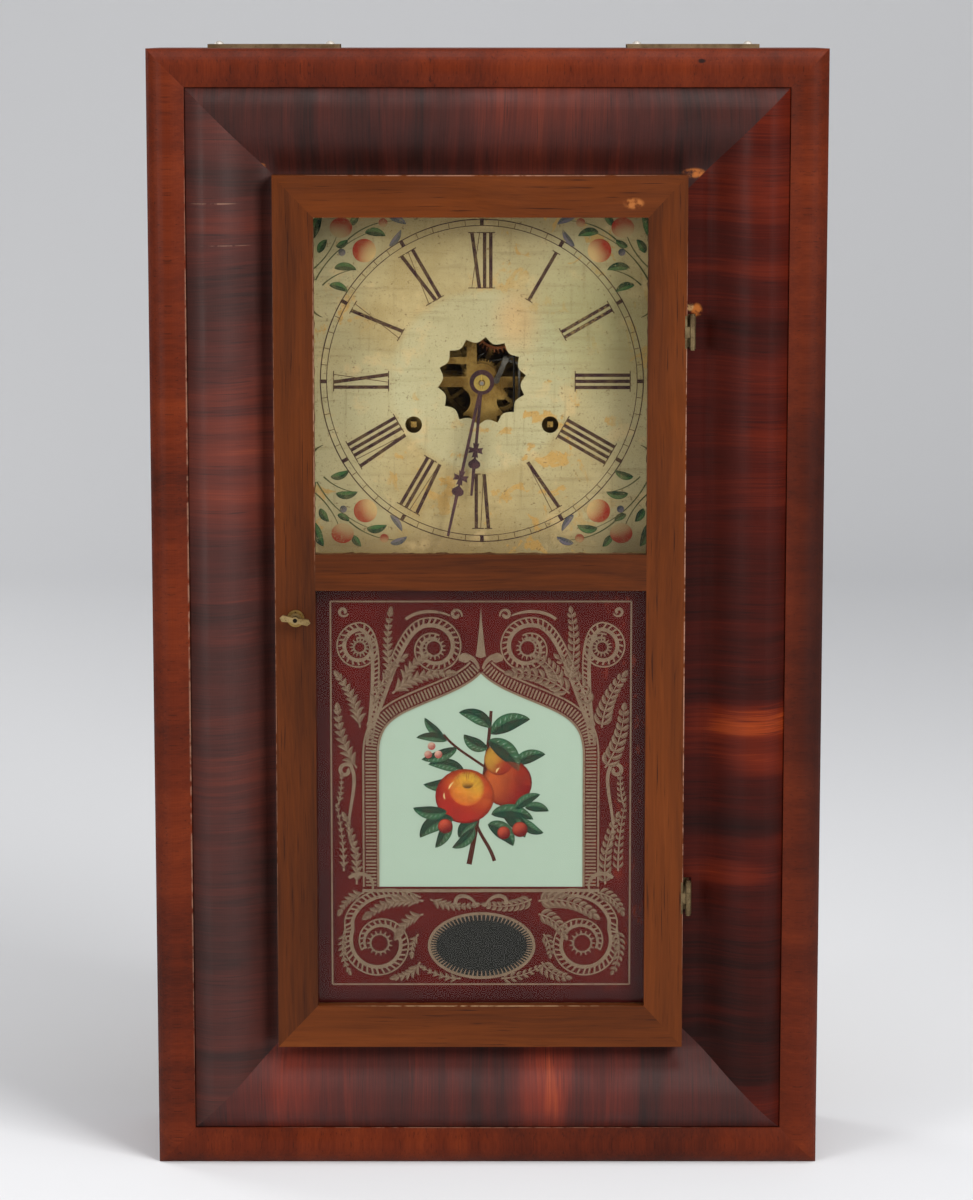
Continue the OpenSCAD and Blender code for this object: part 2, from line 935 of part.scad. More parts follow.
module center_wheel() {
    color(brass) {
        wheel(hub, center_teeth, center_m, bearing(hub, third_arbor), center_d);
        lantern(
            hub, center_leaves, great_m, bearing(hub, time_arbor),
            great_d - 2.4, great_d + wheel_t + 1.6
        );
        slab(minute_wheel_d, minute_wheel_d + wheel_t + 0.2)
            on_dial()
                toothed(cannon_leaves, cannon_m, bearing(hub, minute_arbor) + 180 / cannon_leaves);
    }
    color(steel) {
        difference() {
            round_bar(hub, hands_arbor_r, minute_hand_d - 3, back_plate_d - 0.3);
            taper_pin_hole();
        }
        round_bar(hub, cannon_r, minute_hand_d + hand_t, center_d);
        round_bar(hub, pivot_r, back_plate_d - 1, back_face_d + 0.6);
    }
}

module hour_wheel() {
    color(brass)
        difference() {
            union() {
                wheel(hub, hour_teeth, hour_m, bearing(hub, minute_arbor), hour_wheel_d, 4, 6);
                round_bar(hub, hour_pipe_r, hour_hand_d, hour_wheel_d + wheel_t);
            }
            round_bar(hub, cannon_r + run_fit, hour_hand_d - 1, hour_wheel_d + wheel_t + 1);
        }
}

module minute_wheel() {
    color(brass)
        difference() {
            union() {
                wheel(minute_arbor, minute_teeth, cannon_m, bearing(minute_arbor, hub), minute_wheel_d, 4, 4);
                slab(hour_wheel_d - 0.4, minute_wheel_d)
                    on_dial(minute_arbor)
                        toothed(minute_leaves, hour_m, bearing(minute_arbor, hub) + 180 / minute_leaves);
            }
            round_bar(minute_arbor, 1 + run_fit, hour_wheel_d - 1, minute_wheel_d + wheel_t + 1);
        }
}

module third_wheel() {
    color(brass) {
        wheel(third_arbor, third_teeth, third_m, bearing(third_arbor, escape_arbor), third_d);
        lantern(
            third_arbor, third_leaves, center_m, bearing(third_arbor, hub),
            center_d - 1.4, center_d + wheel_t + 1.4
        );
    }
    color(steel)
        arbor(third_arbor);
}

// hooked teeth that lean the way the wheel turns
module escape_wheel() {
    pitch = 360 / escape_teeth;
    root = escape_r - 2.7;
    color(brass) {
        slab(escape_d, escape_d + 1.2)
            on_dial(escape_arbor) {
                difference() {
                    polygon([
                        for (k = [0 : escape_teeth - 1])
                            for (corner = [[root, 0], [escape_r, 0.35], [escape_r, 0.45], [root, 0.42]])
                                polar(corner[0], pitch * (k + corner[1]))
                    ]);
                    circle(root - 1.4);
                }
                circle(3.4);
                for (k = [0 : 3])
                    rotate(32 + 90 * k)
                        translate([0, -0.8])
                            square([root - 1, 1.6]);
            }
        lantern(
            escape_arbor, escape_leaves, third_m, bearing(escape_arbor, third_arbor),
            third_d - 1.2, third_d + wheel_t + 1.2
        );
    }
    color(steel)
        arbor(escape_arbor, 1.2);
}

// bent steel strip on its pin, with the wire that drives the pendulum
fork_v = -20;

// both edges of a strip that follows a path
function strip_edge(path, half) = [
    for (i = [0 : len(path) - 1])
        path[i] + polar(half, 90 + bearing(path[max(i - 1, 0)], path[min(i + 1, len(path) - 1)]))
];

module bent_strip(path, half) {
    back = strip_edge(path, -half);
    polygon(concat(strip_edge(path, half), [for (i = [len(back) - 1 : -1 : 0]) back[i]]));
}

module verge() {
    strip = [
        [1.3, 14.7], [-1, 13.4], [-2.4, 11.8], [-1.7, 10], [-0.2, 9.4], verge_pin, [20.9, 13.6]
    ];
    elbow = [verge_pin[0] + 8, verge_pin[1] - 2.4];
    wire_at = [rod_x + 3, fork_v];
    color(steel)
        difference() {
            union() {
                slab(escape_d - 0.8, escape_d + 2)
                    on_dial()
                        bent_strip(strip, 0.45);
                round_bar(verge_pin, 2, plates_gap_d - 0.8, escape_d + 2);
                slab(plates_gap_d - 0.8, plates_gap_d + 0.4)
                    on_dial()
                        strap(verge_pin, elbow, 1.2);
                round_bar(elbow, 0.75, rod_d - 0.7, plates_gap_d + 0.5);
                slab(rod_d - 0.6, rod_d + 0.6)
                    on_dial()
                        strap_chain([elbow, wire_at], 1.2);
                // fork round the rod
                board(
                    dial_x + rod_x - 2.2, dial_x + rod_x + 3.2, rod_d - 2.4, rod_d + 2.4,
                    dial_z + fork_v - 0.4, dial_z + fork_v + 1
                );
            }
            board(
                dial_x + rod_x - 1.1, dial_x + rod_x + 1.1, rod_d - 1.5, rod_d + 1.5,
                dial_z + fork_v - 3, dial_z + fork_v + 3
            );
            round_bar(verge_pin, 0.9 + run_fit, plates_gap_d - 2, escape_d + 3);
        }
}

// arm riveted to the front plate, with the pin that the verge swings on
module verge_bracket() {
    color(steel) {
        slab(front_plate_d - 1.2, front_plate_d)
            on_dial()
                strap(bracket_rivet, verge_pin, 3);
        round_bar(bracket_rivet, 1.9, front_plate_d - 2, front_plate_d - 1.2);
        round_bar(verge_pin, 0.9, front_plate_d - 1.4, escape_d + 2.8);
    }
}

ratchet_teeth = 24;

// drum with its ends, ratchet, winding square and the arbor through the great wheel
module drum(place) {
    back = great_d - 0.4;
    ratchet_d = back - 1.6;
    front = ratchet_d - drum_len - 2.4;
    color(pine)
        round_bar(place, drum_r, front + 1.2, ratchet_d - 1.2);
    color(brass) {
        round_bar(place, drum_r + 3.4, front, front + 1.2);
        round_bar(place, drum_r + 3.4, ratchet_d - 1.2, ratchet_d);
        slab(ratchet_d, back)
            on_dial(place)
                polygon([
                    for (k = [0 : ratchet_teeth - 1])
                        for (corner = [[drum_r - 3, 0], [drum_r - 0.6, 0.9]])
                            polar(corner[0], 360 / ratchet_teeth * (k + corner[1]))
                ]);
    }
    color(steel) {
        round_bar(place, 2.6, plates_gap_d + 0.3, back_plate_d - 0.3);
        round_bar(place, 1.8, front_plate_d - 1, back_face_d + 0.6);
        slab(dial_d + dial_t + 1.4, front_plate_d - 1)
            on_dial(place)
                translate([-1.7, -1.7])
                    square(3.4);
    }
}

module time_drum() {
    drum(time_arbor);
}

module strike_drum() {
    drum(strike_arbor);
}

// great wheel that turns freely on the drum's arbor, with the click on its face
module great_wheel(place, teeth, m, phase) {
    click_at = drum_r + 1.6;
    color(brass)
        difference() {
            union() {
                wheel(place, teeth, m, phase, great_d, 5, 6);
                slab(great_d - 1.4, great_d)
                    on_dial(place)
                        translate(polar(click_at, phase + 36))
                            circle(1.6);
                slab(great_d, great_d + wheel_t)
                    on_dial(place)
                        translate(polar(click_at, phase + 36))
                            rotate(phase + 36)
                                translate([-click_at, -2.4])
                                    square([click_at + 2, 4.8]);
            }
            round_bar(place, 2.6 + run_fit, great_d - 2, great_d + wheel_t + 1);
        }
}

module time_great_wheel() {
    great_wheel(time_arbor, great_teeth, great_m, bearing(time_arbor, hub));
}

module strike_great_wheel() {
    great_wheel(strike_arbor, strike_teeth, strike_m, bearing(strike_arbor, pin_arbor));
}

// second strike wheel, whose pins lift the hammer's tail
pin_circle_r = 14.6;
pin_wheel_d = 65.5;

module strike_pin_wheel() {
    color(brass) {
        wheel(pin_arbor, pin_teeth, pin_m, bearing(pin_arbor, warning_arbor), pin_wheel_d);
        lantern(
            pin_arbor, pin_leaves, strike_m, bearing(pin_arbor, strike_arbor),
            great_d - 1.4, great_d + wheel_t + 1.4
        );
    }
    color(steel) {
        arbor(pin_arbor);
        slab(pin_wheel_d + wheel_t, pin_wheel_d + wheel_t + 2.6)
            on_dial(pin_arbor)
                for (k = [0 : 7])
                    translate(polar(pin_circle_r, 45 * k + 10))
                        circle(0.7, $fn = 8);
    }
}

warning_d = 57;

module warning_wheel() {
    color(brass) {
        wheel(warning_arbor, warning_teeth, warning_m, bearing(warning_arbor, fly_arbor), warning_d);
        lantern(
            warning_arbor, warning_leaves, pin_m, bearing(warning_arbor, pin_arbor),
            pin_wheel_d - 1.4, pin_wheel_d + wheel_t + 1.4
        );
    }
    color(steel)
        arbor(warning_arbor, 1.2);
}

// air brake of the strike train
module fly() {
    color(brass)
        lantern(
            fly_arbor, fly_leaves, warning_m, bearing(fly_arbor, warning_arbor),
            warning_d - 1.2, warning_d + wheel_t + 1.2
        );
    color(tin)
        slab(63, 77)
            on_dial(fly_arbor)
                translate([-8, -0.4])
                    square([16, 0.8]);
    color(steel)
        arbor(fly_arbor, 1.2);
}

// hammer with its arbor, the tail under the lifting pins and the wire down to the gong
module hammer() {
    head = [hammer_arbor[0], gong_v + 6];
    tail_d = pin_wheel_d + wheel_t + 0.4;
    color(steel) {
        round_bar(hammer_arbor, 1.4, plates_gap_d + 0.3, back_plate_d - 0.3);
        round_bar(hammer_arbor, pivot_r, front_plate_d - 0.6, back_plate_d + 1);
        round_bar(hammer_arbor, pivot_r, back_plate_d, hammer_d);
        slab(tail_d, tail_d + 1.6)
            on_dial()
                strap(hammer_arbor, hammer_arbor + polar(38, 80), 1.6);
        slab(hammer_d - 0.8, hammer_d + 0.8)
            on_dial()
                strap(hammer_arbor, head, 1.6);
    }
    color(brass)
        translate([dial_x + head[0] - 7, front_y + hammer_d, dial_z + head[1]])
            rotate([0, 90, 0])
                cylinder(h = 12, r = 5);
}

// ---------- movement frame ----------

module plate_drawing() {
    corners = concat(plate_corners, [plate_corners[0]]);
    on_dial() {
        strap_chain(corners, 9);
        strap([-64, -1.4], [64, -1.4], 6.3);
        strap([1, -1.4], [1, -68], 15.6);
        strap([-6, 0], [-6, 48], 6);
        strap([-64, 11.2], [-6, 11.2], 4);
        strap([-64, -28], [66, -28], 7);
        strap([-6, third_arbor[1]], third_arbor, 6);
        strap([-6, escape_arbor[1] + 1], escape_arbor + [0, 1], 5);
        strap([-64, pin_arbor[1]], pin_arbor, 7);
        strap([-64, warning_arbor[1]], warning_arbor, 6);
        strap([-64, fly_arbor[1]], fly_arbor, 6);
        strap([rod_x, post_up + 3], [rod_x, post_up], 8);
        strap(hammer_arbor, hammer_arbor + [0, 8], 9);
        strap(hub, minute_arbor, 6);
        for (place = [hub, time_arbor, strike_arbor])
            translate(place)
                circle(9.5);
        // fillets where the straps meet under the middle
        for (side = [-1, 1])
            difference() {
                translate([1 + side * 7.6, -12.4])
                    square([9, 18], center = true);
                translate([1 + side * 16, -12.6])
                    circle(8.3);
            }
    }
}

module plate_bores(back) {
    on_dial() {
        for (place = [time_arbor, strike_arbor])
            translate(place)
                circle(1.8 + run_fit);
        for (place = [third_arbor, escape_arbor, pin_arbor, warning_arbor, fly_arbor, hammer_arbor])
            translate(place)
                circle(pivot_r + run_fit);
        circle(back ? pivot_r + run_fit : hour_pipe_r + run_fit);
    }
}

module front_plate() {
    color(brass)
        slab(front_plate_d, plates_gap_d)
            difference() {
                plate_drawing();
                plate_bores(false);
            }
    // stud of the minute wheel and the post that the pendulum hangs on
    color(steel) {
        round_bar(minute_arbor, 1, plates_gap_d, minute_wheel_d + wheel_t + 0.8);
        round_bar([rod_x, post_up], 1.2, rod_d - 2, front_plate_d);
        round_bar([rod_x, post_up], 1.9, rod_d - 2.8, rod_d - 2);
    }
}

module back_plate() {
    color(brass)
        difference() {
            slab(back_plate_d, back_face_d)
                difference() {
                    plate_drawing();
                    plate_bores(true);
                }
            screw_holes(back_plate_d - 1, back_face_d + 1);
        }
}

module plate_pillars() {
    color(brass)
        for (place = pillars)
            round_bar(place, 3, plates_gap_d, back_plate_d);
}

// ---------- pendulum ----------

module pendulum_rod() {
    bottom = post_up - pendulum_len - bob_r - 6;
    color(iron)
        difference() {
            union() {
                round_bar([rod_x, post_up], 2.6, rod_d - 0.8, rod_d + 0.8);
                translate([dial_x + rod_x, front_y + rod_d, dial_z + bottom])
                    cylinder(h = post_up - 2 - bottom, r = rod_r);
            }
            round_bar([rod_x, post_up], 1.2 + run_fit, rod_d - 2, rod_d + 2);
        }
}

// brass lens with a nut under it
module pendulum_bob() {
    bob_v = post_up - pendulum_len;
    rim = rod_r + 0.5;
    dish = [for (i = [0 : 8]) let (x = 1 - i / 8) [bob_r * x, rim + (bob_t / 2 - rim) * (1 - x * x)]];
    color(brass)
        difference() {
            union() {
                translate([dial_x + rod_x, front_y + rod_d, dial_z + bob_v])
                    rotate([90, 0, 0])
                        rotate_extrude($fn = 144)
                            polygon(concat(dish, [for (i = [8 : -1 : 0]) [dish[i][0], -dish[i][1]]]));
                translate([dial_x + rod_x, front_y + rod_d, dial_z + bob_v - bob_r - 4])
                    cylinder(h = 5, r = 2.4);
            }
            translate([dial_x + rod_x, front_y + rod_d, dial_z + bob_v - bob_r - 10])
                cylinder(h = 2 * bob_r + 20, r = rod_r + run_fit);
        }
}

// ---------- gong ----------

gong_v = -236;
gong_x = hammer_arbor[0] + gong_r + gong_wire_r + 6.3;
gong_steps = 24;

// one point of the spiral, in the dial's plane
function gong_point(i) =
    let (turn = i / gong_steps)
    polar(gong_r - turn * (gong_r - 16) / gong_turns, 180 - 360 * turn);

function ring_points(centre, along, r, sides) = [
    for (k = [0 : sides - 1])
        let (a = 360 * k / sides)
        [centre[0] + r * cos(a) * cos(along), r * sin(a), centre[1] + r * cos(a) * sin(along)]
];

module gong_coil() {
    sides = 6;
    count = gong_turns * gong_steps;
    points = [
        for (i = [0 : count])
            each ring_points(gong_point(i), 180 - 360 * i / gong_steps, gong_wire_r, sides)
    ];
    skin = [
        for (i = [0 : count - 1])
            for (k = [0 : sides - 1])
                let (a = i * sides + k, b = i * sides + (k + 1) % sides)
                each [[a, b, a + sides], [b, b + sides, a + sides]]
    ];
    ends = [[for (k = [0 : sides - 1]) sides - 1 - k], [for (k = [0 : sides - 1]) count * sides + k]];
    turn_gap = (gong_r - 16) / gong_turns - 2 * gong_wire_r;
    echo(gong_gap = turn_gap);
    color(steel)
        translate([dial_x + gong_x, front_y + hammer_d, dial_z + gong_v])
            polyhedron(points, concat(skin, ends));
}

// iron block on the backboard that clamps the coil's inner end
module gong_base() {
    end_x = gong_x - polar(16, 0)[0];
    color(iron)
        difference() {
            translate([dial_x + end_x, front_y + backboard_d, dial_z + gong_v])
                rotate([90, 0, 0])
                    cylinder(h = backboard_d - hammer_d + 3, r1 = 11, r2 = 7);
            board(
                dial_x + end_x - 1.5, dial_x + end_x + 3, hammer_d - 4, hammer_d + gong_wire_r + 0.1,
                dial_z + gong_v - 20, dial_z + gong_v + 20
            );
        }
}

// ---------- pulleys, covers and fixings ----------

module screw_holes(d0, d1) {
    for (place = plate_screws)
        round_bar(place, screw_r + run_fit, d0, d1);
}

module pulley(x) {
    half = pulley_t / 2;
    color(pine)
        translate([x, front_y + weight_mid_d, pulley_z])
            rotate([90, 0, 0])
                rotate_extrude()
                    polygon([
                        [pulley_pin_r + run_fit, -half], [pulley_rim_r, -half], [pulley_rim_r, -half + 0.8],
                        [pulley_r, -0.9], [pulley_r, 0.9],
                        [pulley_rim_r, half - 0.8], [pulley_rim_r, half], [pulley_pin_r + run_fit, half]
                    ]);
}

module pulley_left() {
    pulley(left_pulley_x);
}

module pulley_right() {
    pulley(right_pulley_x);
}

module pulley_pins() {
    color(iron)
        for (x = [left_pulley_x, right_pulley_x])
            translate([x, front_y + weight_mid_d, pulley_z])
                rotate([90, 0, 0])
                    cylinder(h = pulley_t + 16, r = pulley_pin_r, center = true);
}

// tin plates with folded edges over the slots in the top
module pulley_covers() {
    color(tin)
        difference() {
            for (x = [left_pulley_x, right_pulley_x])
                translate([x - cover_len / 2, front_y + weight_mid_d - cover_d / 2, case_h])
                    difference() {
                        cube([cover_len, cover_d, cover_h]);
                        translate([-1, tin_t, -1])
                            cube([cover_len + 2, cover_d - 2 * tin_t, cover_h - tin_t + 1]);
                    }
            for (place = cover_nails)
                translate([place[0], place[1], case_h - 1])
                    cylinder(h = cover_h + 2, r = nail_r + run_fit);
        }
}

// a domed head, flat side down at z = 0
module dome(r, h) {
    ball_r = (r * r + h * h) / (2 * h);
    difference() {
        translate([0, 0, h - ball_r])
            sphere(ball_r);
        translate([-2 * ball_r, -2 * ball_r, -4 * ball_r])
            cube(4 * ball_r);
    }
}

// nails of the covers and the dial, and the screws of the movement
module iron_fixings() {
    color(iron) {
        for (place = cover_nails)
            translate([place[0], place[1], case_h]) {
                translate([0, 0, 1 - board_t])
                    cylinder(h = board_t + cover_h - 0.5, r = nail_r);
                translate([0, 0, cover_h])
                    dome(cover_nail_r, 1.9);
            }
        for (place = dial_nails) {
            slab(dial_d - 0.6, dial_d + 6)
                translate(place)
                    circle(nail_r);
            slab(dial_d - 0.8, dial_d)
                translate(place)
                    circle(1.8);
        }
        for (place = plate_screws) {
            round_bar(place, screw_r, back_plate_d - 1, back_face_d + 10);
            round_bar(place, 2.8, back_plate_d - 1.6, back_plate_d);
        }
    }
}

// ---------- weights and cords ----------

ring_r = 5;
ring_wire_r = 1.2;

// cast iron block with a wire ring in its top
module weight(x) {
    half = weight_w / 2;
    color(iron)
        translate([x, front_y + weight_mid_d, weight_z]) {
            translate([0, weight_d / 2, 0])
                rotate([90, 0, 0])
                    linear_extrude(weight_d)
                        polygon([
                            [-half + 2, 0], [half - 2, 0], [half, 2], [half - 1, weight_h - 8],
                            [half - 8, weight_h], [8 - half, weight_h], [1 - half, weight_h - 8], [-half, 2]
                        ]);
            translate([0, 0, weight_h + ring_r - 1])
                rotate([90, 0, 0])
                    rotate_extrude()
                        translate([ring_r, 0])
                            circle(ring_wire_r, $fn = 16);
        }
}

module time_weight() {
    weight(right_weight_x);
}

module strike_weight() {
    weight(left_weight_x);
}

// the straight run from the pulley down to the weight's ring
module weight_cord(x) {
    low = weight_z + weight_h + 2 * ring_r - 1 + ring_wire_r + 0.1;
    color(string_tan)
        translate([x, front_y + weight_mid_d, low])
            cylinder(h = pulley_z - low, r = cord_r);
}

module time_weight_cord() {
    weight_cord(right_weight_x);
}

module strike_weight_cord() {
    weight_cord(left_weight_x);
}

// places along a cord: off the drum, up to the pulley's inner side and over it;
// side is 1 on the right and -1 on the left
drum_cord_r = drum_r + cord_r + 0.1;
over_steps = 14;

function cord_route(side, drum_place, pulley_x) =
    let (
        low = [dial_x + drum_place[0], dial_z + drum_place[1]],
        high = [pulley_x, pulley_z],
        gap = norm(high - low),
        // the cord crosses from the drum's outer side to the pulley's inner side
        lean = asin((drum_cord_r + cord_at) / gap),
        way = bearing(low, high) + side * lean,
        leave = -90 * side
    )
    concat(
        [low + polar(drum_cord_r, way + leave)],
        [
            for (i = [0 : over_steps])
                let (on = way - leave, off = 90 - 90 * side)
                high + polar(cord_at, on + (off - on) * i / over_steps)
        ]
    );

// rings of a tube along a route in the cord's plane, square to its bends
module flat_tube(route, r) {
    sides = 8;
    last = len(route) - 1;
    function heading(i) =
        i == 0 ? bearing(route[0], route[1])
        : i == last ? -90
        : bearing(route[i - 1], route[i + 1]);
    points = [
        for (i = [0 : last])
            each ring_points(route[i], heading(i) + 90, r, sides)
    ];
    skin = [
        for (i = [0 : last - 1])
            for (k = [0 : sides - 1])
                let (a = i * sides + k, b = i * sides + (k + 1) % sides)
                each [[a, b, a + sides], [b, b + sides, a + sides]]
    ];
    ends = [[for (k = [0 : sides - 1]) sides - 1 - k], [for (k = [0 : sides - 1]) last * sides + k]];
    polyhedron(points, concat(skin, ends));
}

module cords_over_pulleys() {
    color(string_tan)
        translate([0, front_y + weight_mid_d, 0]) {
            flat_tube(cord_route(1, time_arbor, right_pulley_x), cord_r);
            flat_tube(cord_route(-1, strike_arbor, left_pulley_x), cord_r);
        }
}

// ---------- the whole clock ----------

case_side_left();
case_side_right();
case_top();
case_bottom();
backboard();
ogee_left();
ogee_right();
ogee_top();
ogee_bottom();
outer_band();
partitions();
dial_battens();
movement_cleats();
dial();
iron_fixings();
pulley_covers();
pulley_left();
pulley_right();
pulley_pins();
hinge_case_halves();
hinge_door_halves();
door_latch_stile();
door_hinge_stile();
door_top_rail();
door_middle_rail();
door_bottom_rail();
dial_glass();
tablet_glass();
latch_plate();
latch_turn();
front_plate();
back_plate();
plate_pillars();
verge_bracket();
gong_base();
gong_coil();
center_wheel();
minute_hand();
hand_washer();
hour_hand();
hour_wheel();
minute_wheel();
third_wheel();
escape_wheel();
verge();
pendulum_rod();
pendulum_bob();
time_great_wheel();
strike_great_wheel();
time_drum();
strike_drum();
strike_pin_wheel();
warning_wheel();
fly();
hammer();
time_weight();
strike_weight();
cords_over_pulleys();
time_weight_cord();
strike_weight_cord();
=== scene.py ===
import math
import bpy
import numpy as np
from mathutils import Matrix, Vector
from mathutils.geometry import tessellate_polygon


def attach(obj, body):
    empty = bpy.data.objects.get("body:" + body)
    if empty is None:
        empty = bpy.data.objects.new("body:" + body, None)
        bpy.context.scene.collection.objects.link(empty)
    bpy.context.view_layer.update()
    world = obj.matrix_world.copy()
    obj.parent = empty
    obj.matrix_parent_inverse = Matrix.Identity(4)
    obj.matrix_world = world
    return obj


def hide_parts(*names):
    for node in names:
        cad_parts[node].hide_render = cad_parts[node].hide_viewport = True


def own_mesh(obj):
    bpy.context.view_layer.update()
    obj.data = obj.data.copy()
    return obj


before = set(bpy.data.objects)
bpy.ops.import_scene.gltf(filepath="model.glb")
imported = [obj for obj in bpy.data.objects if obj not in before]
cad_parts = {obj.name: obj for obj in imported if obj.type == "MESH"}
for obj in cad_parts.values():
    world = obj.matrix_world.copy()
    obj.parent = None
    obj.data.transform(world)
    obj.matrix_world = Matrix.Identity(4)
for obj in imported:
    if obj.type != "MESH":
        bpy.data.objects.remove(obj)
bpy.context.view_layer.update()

# Sizes are in mm unless a name says otherwise, and colours are screen numbers from 0 to 255.
MM = 0.001
DIAL_MIDDLE = (-3.3, 464)
DIAL_FACE = -18
GLASS_BACK = -41
DOOR_BACK = -37
HALF_WIDTH = 195.5
HALF_HEIGHT = 328.5

# ---------- camera and lamps ----------

IMAGE_HEIGHT = 1200
FOCAL_PIXELS = 3828
SENSOR = 36
CAMERA_PITCH = 8.5
CAMERA_METRES = (-0.0006, -2.253, 0.6686)


def set_camera():
    """The photograph's view: a long lens a little above the clock's top, tipped down."""
    data = bpy.data.cameras.new("camera")
    data.sensor_fit = "VERTICAL"
    data.sensor_height = SENSOR
    data.lens = SENSOR * FOCAL_PIXELS / IMAGE_HEIGHT
    camera = bpy.data.objects.new("camera", data)
    bpy.context.collection.objects.link(camera)
    camera.location = CAMERA_METRES
    camera.rotation_euler = (math.radians(90 - CAMERA_PITCH), 0, 0)
    bpy.context.scene.camera = camera


def lamp(name, place, aim, width, height, watts, colour=(1, 1, 1)):
    """A soft rectangular lamp, in metres, at place and turned to face aim."""
    data = bpy.data.lights.new(name, "AREA")
    data.shape = "RECTANGLE"
    data.size = width
    data.size_y = height
    data.energy = watts
    data.color = colour
    item = bpy.data.objects.new(name, data)
    bpy.context.collection.objects.link(item)
    item.location = place
    item.rotation_euler = (Vector(aim) - Vector(place)).to_track_quat("-Z", "Y").to_euler()


set_camera()

# ---------- colours and shaders ----------


def tone(colour):
    """A screen colour (red, green, blue) as the linear numbers that shaders take; all else stays as it is."""
    if not isinstance(colour, tuple):
        return colour
    shares = [value / 255 for value in colour]
    return (*[x / 12.92 if x <= 0.04045 else ((x + 0.055) / 1.055) ** 2.4 for x in shares], 1)


class Finish:
    """One material, with short calls for the patterns that its shader reads."""

    def __init__(self, name):
        self.material = bpy.data.materials.new(name)
        self.material.use_nodes = True
        self.tree = self.material.node_tree
        self.tree.nodes.clear()
        self.place = self.tree.nodes.new("ShaderNodeTexCoord").outputs["Object"]

    def set(self, socket, value):
        if isinstance(value, bpy.types.NodeSocket):
            self.tree.links.new(value, socket)
        elif value is not None:
            socket.default_value = value

    def node(self, kind, values=(), **settings):
        made = self.tree.nodes.new("ShaderNode" + kind)
        for key, value in settings.items():
            setattr(made, key, value)
        for key, value in dict(values).items():
            self.set(made.inputs[key], value)
        return made

    def at(self, stretch=(1, 1, 1), shift=(0, 0, 0), turn=(0, 0, 0), source=None):
        """The place in the object, in metres, stretched, turned by degrees and shifted."""
        turn = [math.radians(angle) for angle in turn]
        values = {"Vector": source or self.place, "Scale": stretch, "Rotation": turn, "Location": shift}
        return self.node("Mapping", values).outputs["Vector"]

    def axes(self):
        return self.node("SeparateXYZ", {"Vector": self.place}).outputs

    def paint(self):
        """The colour that artwork carries at its points."""
        return self.node("Attribute", attribute_name="paint").outputs["Color"]

    def noise(self, scale, detail=3, rough=0.5, distort=0, **where):
        values = {"Scale": scale, "Detail": detail, "Roughness": rough, "Distortion": distort}
        return self.node("TexNoise", {"Vector": self.at(**where), **values}).outputs["Fac"]

    def sums(self, kind, first, second):
        made = self.node("Math", operation=kind)
        self.set(made.inputs[0], first)
        self.set(made.inputs[1], second)
        return made.outputs[0]

    def plus(self, first, second):
        return self.sums("ADD", first, second)

    def minus(self, first, second):
        return self.sums("SUBTRACT", first, second)

    def times(self, first, second):
        return self.sums("MULTIPLY", first, second)

    def apart(self, first, second):
        """How far two numbers are from each other."""
        return self.sums("ABSOLUTE", self.minus(first, second), 0)

    def spread(self, value, low, high, to_low=0, to_high=1):
        """value from low..high to to_low..to_high, smooth at both ends."""
        values = {"Value": value, "From Min": low, "From Max": high, "To Min": to_low, "To Max": to_high}
        return self.node("MapRange", values, interpolation_type="SMOOTHSTEP").outputs["Result"]

    def ramp(self, value, spots, colours):
        made = self.node("ValToRGB", {"Fac": value})
        band = made.color_ramp.elements
        while len(band) < len(spots):
            band.new(0.5)
        for part, spot, colour in zip(band, spots, colours):
            part.position = spot
            part.color = tone(colour)
        return made.outputs["Color"]

    def mix(self, share, first, second):
        """first where share is 0 and second where it is 1."""
        made = self.node("Mix", data_type="RGBA")
        for number, value in ((0, share), (6, first), (7, second)):
            self.set(made.inputs[number], tone(value))
        return made.outputs[2]

    def over(self, under, colour, pattern, low, high, most=1):
        """colour over another, from none where pattern is low to a share of most where it is high."""
        return self.mix(self.spread(pattern, low, high, 0, most), under, colour)

    def spot(self, middle, size, soft=0.4, most=1):
        """most inside an ellipsoid about middle with half widths size, and 0 outside it."""
        scale = [1 / (MM * value) for value in size]
        shift = [-MM * place * factor for place, factor in zip(middle, scale)]
        length = self.node("VectorMath", {0: self.at(scale, shift)}, operation="LENGTH")
        return self.spread(length.outputs["Value"], 1, 1 - soft, 0, most)

    def bump(self, height, strength, depth, under=None):
        values = {"Height": height, "Strength": strength, "Distance": depth, "Normal": under}
        return self.node("Bump", values).outputs["Normal"]

    def surface(self, colour, roughness, normal=None, specular=0.5, metallic=0, coat=0):
        return self.show(self.node("BsdfPrincipled", {
            "Base Color": tone(colour), "Roughness": roughness, "Normal": normal, "Metallic": metallic,
            "Specular IOR Level": specular, "Coat Weight": coat, "Coat Roughness": 0.3}).outputs[0])

    def show(self, shader):
        self.node("OutputMaterial", {"Surface": shader})
        return self.material


# ---------- woods ----------

DARK_MAHOGANY = ((34, 12, 8), (66, 23, 15), (94, 34, 18), (144, 62, 28))
RED_MAHOGANY = ((34, 8, 5), (72, 17, 7), (106, 31, 11), (176, 76, 28))
# The red tones made darker for the right ogee member: painted shade on the side turned away from the light.
RED_MAHOGANY_IN_SHADE = ((30, 7, 4), (62, 14, 6), (92, 27, 9), (168, 71, 25))
BAND_MAHOGANY = ((62, 20, 7), (88, 30, 9), (106, 40, 13), (130, 58, 22))
DOOR_MAHOGANY = ((58, 26, 8), (82, 38, 11), (98, 47, 14), (117, 60, 22))
PINE = ((110, 78, 46), (148, 110, 68), (172, 134, 86), (192, 156, 108))
PORE = (18, 7, 5)
SHADED = (20, 9, 8)
CHIP = (168, 96, 40)
# Pale colour of rubbed edges and scratches, used also for pale lines along lit arrises that are painted
# highlights.
PALE_WEAR_AND_HIGHLIGHT = (150, 112, 92)
GAP = (14, 7, 6)


